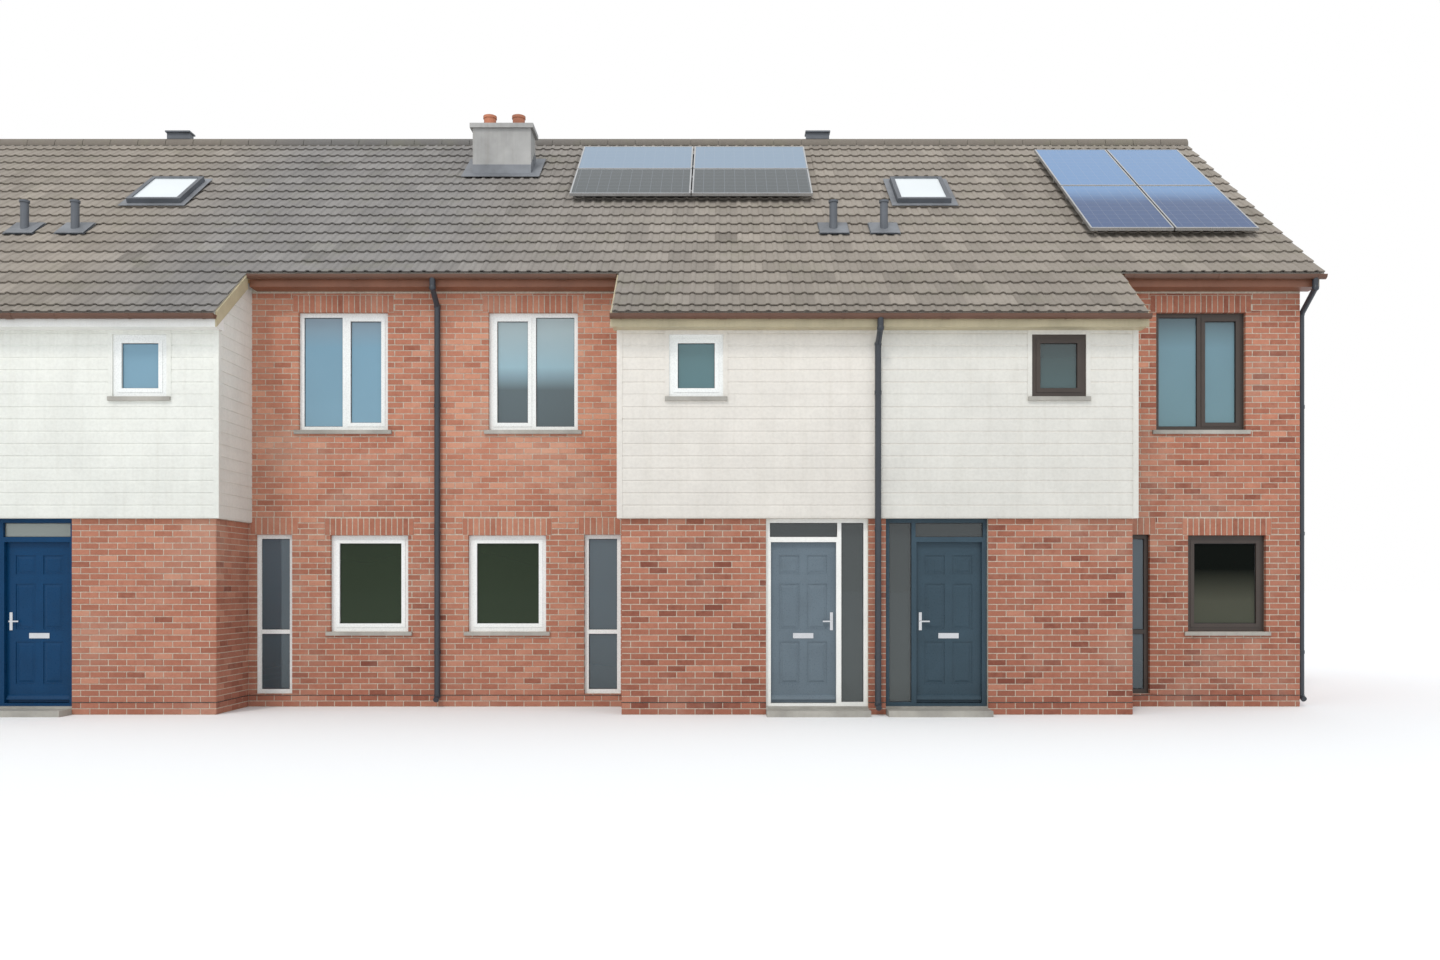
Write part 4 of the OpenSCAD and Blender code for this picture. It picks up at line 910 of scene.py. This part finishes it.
# Leadwork: the chimney's apron and stepped soakers, the vents' slates and the roof windows' flashings
CHIMNEY = (-0.15, 0.75, RIDGE_Y - 1.335, RIDGE_Y - 0.885)
SHEET, APRON, APRON_UP, SOAKER_UP, STEPS = (0.015, 0.019), 0.15, 0.15, 0.11, 4
LEAD_T, LEAD_SUNK, WINDOW_LEAD, WINDOW_GAP = 0.006, 0.02, 0.1, 0.015
VENT_S, VENT_OFF, SLATE_HALF = 1.52, 0.35, 0.2
x0, x1, y0, y1 = CHIMNEY
bag = Bag()
layer(bag, (x0 - APRON, x1 + APRON, s_of(y0) - APRON - 0.01, s_of(y1) + APRON + 0.01), *SHEET)
low = tile_top(y0)
bag.box((x0 - LEAD_T, y0 - LEAD_T, low - LEAD_SUNK), (x1 + LEAD_T, y0 + 0.02, low + APRON_UP))
for a, b in ((x0 - LEAD_T, x0), (x1, x1 + LEAD_T)):
    for k in range(STEPS):
        c, d = [y0 + (y1 - y0) * j / STEPS for j in (k, k + 1)]
        bag.box((a, c, tile_top(c) - LEAD_SUNK), (b, d, tile_top(d) + SOAKER_UP))
for side in (-1, 1):
    for t in (-1, 1):
        x = side * HOUSE + t * VENT_OFF
        layer(bag, grow((x, x, VENT_S, VENT_S), SLATE_HALF), *SHEET)
for window in ROOF_WINDOWS:
    a, b, c, d = grow(window, WINDOW_LEAD)
    layer(bag, (a, b, c - 0.02, d), 0.016, 0.021, holes=[grow(window, WINDOW_GAP)])
bag.make("leadwork", LEAD)

# Gutter brackets and joints, and pipe collars, each as an inner and an outer radius and a width
GUTTER_OFF, GUTTER_DROP = -0.006, 0.0533
BRACKET, GUTTER_JOINT, COLLAR = (0.0555, 0.0605, 0.022), (0.0555, 0.062, 0.09), (0.037, 0.044, 0.045)
COLLAR_Z = (0.69, 2.24, 3.9)
brackets, collars = Bag(), Bag()


def hoop(bag, x, y, z, r0, r1, w, full=False):
    """A band w wide: a half ring under a gutter along X, or a full one round an upright pipe."""
    n, first, sweep = (20, 0.0, 2 * math.pi) if full else (10, math.pi, math.pi)

    def place(r, a, shift):
        p, q = r * math.cos(a), r * math.sin(a)
        return (x + p, y + q, z + shift) if full else (x + shift, y + p, z + q)

    for k in range(n):
        a, b = first + sweep * k / n, first + sweep * (k + 1) / n
        outline = ((r0, a), (r1, a), (r1, b), (r0, b))
        bag.prism(*[[place(r, t, shift) for r, t in outline] for shift in (0.0, w)])


def gutter_marks(x0, x1, wall_y, rear=False):
    """Brackets about 0.9 m apart, and a wider joint after every third one from the second on."""
    edge = wall_y - OVER
    y = edge + GUTTER_OFF
    z = tile_top(edge) - GUTTER_DROP
    if rear:
        y = 2 * RIDGE_Y - y
    n = max(1, round((x1 - x0) / 0.9))
    for k in range(n + 1):
        x = x0 + 0.1 + (x1 - x0 - 0.22) * k / n
        hoop(brackets, x, y, z, *BRACKET)
        if k % 3 == 1 and x + 0.5 < x1:
            hoop(brackets, x + 0.3, y, z, *GUTTER_JOINT)


for x in (-HOUSE, HOUSE):
    gutter_marks(x - SEAM, x + SEAM, FRONT_Y)
gutter_marks(-BAY + 0.13, BAY - 0.13, BAY_Y)
gutter_marks(HOUSE + SEAM + 0.05, VERGE_X, BAY_Y)
gutter_marks(-VERGE_X, -HOUSE - SEAM - 0.05, BAY_Y)
gutter_marks(-VERGE_X, VERGE_X, BAY_Y, rear=True)
brackets.make("gutter_brackets", GUTTER)

PIPE_OFF = 0.05
PIPES = ((-HOUSE, SKIN_Y - PIPE_OFF), (HOUSE, SKIN_Y - PIPE_OFF), (0, BAY_Y - PIPE_OFF),
         (-END_X - PIPE_OFF, BAY_Y + 0.06), (END_X + PIPE_OFF, BAY_Y + 0.06),
         (-HOUSE, REAR_Y + PIPE_OFF), (HOUSE, REAR_Y + PIPE_OFF))
for x, y in PIPES:
    for z in COLLAR_Z:
        hoop(collars, x, y, z, *COLLAR, full=True)
collars.make("pipe_collars", PIPE)

# Gaskets round each pane of glass
GASKET_W = 0.007


def panes(mesh, sign):
    """The outer faces of panes as (y, z, z, x, x), each once."""
    found = set()
    for face in mesh.polygons:
        if face.normal[1] * sign < -0.9:
            xs, ys, zs = zip(*[mesh.vertices[k].co for k in face.vertices])
            z0, z1 = round(min(zs), 3), round(max(zs), 3)
            found.add((round(ys[0], 3), z0, z1, round(min(xs), 5), round(max(xs), 5)))
    return sorted(found)


bag = Bag()
for name, sign in (("front_window_glass", 1), ("rear_window_glass", -1), ("door_set_glass", 1)):
    for y, *pane in panes(NODES[name].data, sign):
        y0, y1 = sorted((y - sign * 0.002, y + sign * 0.004))
        for z0, z1, x0, x1 in less(pane, [grow(pane, -GASKET_W)]):
            bag.box((x0, y0, z0), (x1, y1, z1))
bag.make("glass_gaskets", GASKET)

# Panels and weather bars on the front doors. Each row of panels has its foot and height as shares of the leaf
LEAF_W, LEAF_H, LEAF_T, LEAF_Z = 0.815, 1.981, 0.044, 0.14
LEAF_U, LEAF_Y = SET_OUT + 0.055, FRONT_Y + 0.116
STILE, MUNTIN = 0.115, 0.095
PANEL_W = (LEAF_W - 2 * STILE - MUNTIN) / 2
PANELS = ((0.116, 0.262), (0.455, 0.283), (0.798, 0.116))
BAR = [(0.0, 0.175), (0.0, 0.235), (0.012, 0.225), (0.03, 0.185), (0.03, 0.175)]
DOORS = (("row", PAINT_WHITE), ("house_2_door", NAVY), ("house_3_door", PALE_BLUE), ("house_4_door", SLATE))
for i, (body, paint) in enumerate(DOORS):
    bag = Bag()
    for y, inwards in ((LEAF_Y, 1), (LEAF_Y + LEAF_T, -1)):
        for foot, tall in PANELS:
            for u in (STILE, STILE + PANEL_W + MUNTIN):
                z0, z1 = LEAF_Z + LEAF_H * foot, LEAF_Z + LEAF_H * (foot + tall)
                panel = opening(i, LEAF_U + u, LEAF_U + u + PANEL_W, z0, z1)
                bag.prism(*[quad(along(y), grow(panel, -inset), inwards * sunk)
                            for inset, sunk in ((0.02, 0.009), (0.045, 0.001))])
    bag.prism(*[[(x, LEAF_Y - p, z) for p, z in BAR] for x in span(i, LEAF_U + 0.01, LEAF_U + LEAF_W - 0.01)])
    bag.make("door_panels_house_%d" % (i + 1), paint, body)

# Stage: a pale floor, and a sky that looks white and lights the row softly
FLOOR_HALF = 400
floor = bpy.data.meshes.new("floor")
corners = [(x * FLOOR_HALF, y * FLOOR_HALF, 0) for x, y in ((-1, -1), (1, -1), (1, 1), (-1, 1))]
floor.from_pydata(corners, [], [(0, 1, 2, 3)])
material, _, bsdf = new_material("floor")
settle(bsdf, Base_Color=(0.86, 0.86, 0.86, 1), Roughness=0.9)
floor.materials.append(material)
stage = bpy.data.objects.new("floor", floor)
bpy.context.scene.collection.objects.link(stage)

world = bpy.data.worlds.new("sky")
bpy.context.scene.world = world
world.use_nodes = True
tree = world.node_tree
tree.nodes.clear()
soft = tree.nodes.new("ShaderNodeBackground")
settle(soft, Color=(0.90, 0.95, 1.0, 1), Strength=1.13)
white = tree.nodes.new("ShaderNodeBackground")
settle(white, Color=WHITE, Strength=1.0)
path = tree.nodes.new("ShaderNodeLightPath")
seen = calc(tree, "MAXIMUM", path.outputs["Is Camera Ray"], path.outputs["Is Glossy Ray"])
seen = calc(tree, "MAXIMUM", seen, path.outputs["Is Transmission Ray"])
pick = tree.nodes.new("ShaderNodeMixShader")
fill(tree, pick, ((0, seen), (1, soft.outputs[0]), (2, white.outputs[0])))
out = tree.nodes.new("ShaderNodeOutputWorld")
tree.links.new(pick.outputs[0], out.inputs["Surface"])

light = bpy.data.lights.new("sun", "SUN")
light.energy = 0.95
light.angle = math.radians(9)
light.color = (1.0, 0.96, 0.9)
sun = bpy.data.objects.new("sun", light)
sun.rotation_euler = Vector((0.34, 0.8, -1.0)).to_track_quat("-Z", "Y").to_euler()
bpy.context.scene.collection.objects.link(sun)

# Camera, where the photograph was taken from
CAMERA_X, CAMERA_Z, CAMERA_BACK = 3.68, 1.55, 14.18
lens = bpy.data.cameras.new("camera")
lens.sensor_width = 36
lens.lens = 29.0
lens.shift_y = 0.075
lens.clip_end = 500
camera = bpy.data.objects.new("camera", lens)
camera.location = (CAMERA_X, FRONT_Y - CAMERA_BACK, CAMERA_Z)
camera.rotation_euler = (math.radians(90), 0, 0)
bpy.context.scene.collection.objects.link(camera)
bpy.context.scene.camera = camera
bpy.context.scene.view_settings.view_transform = "Standard"
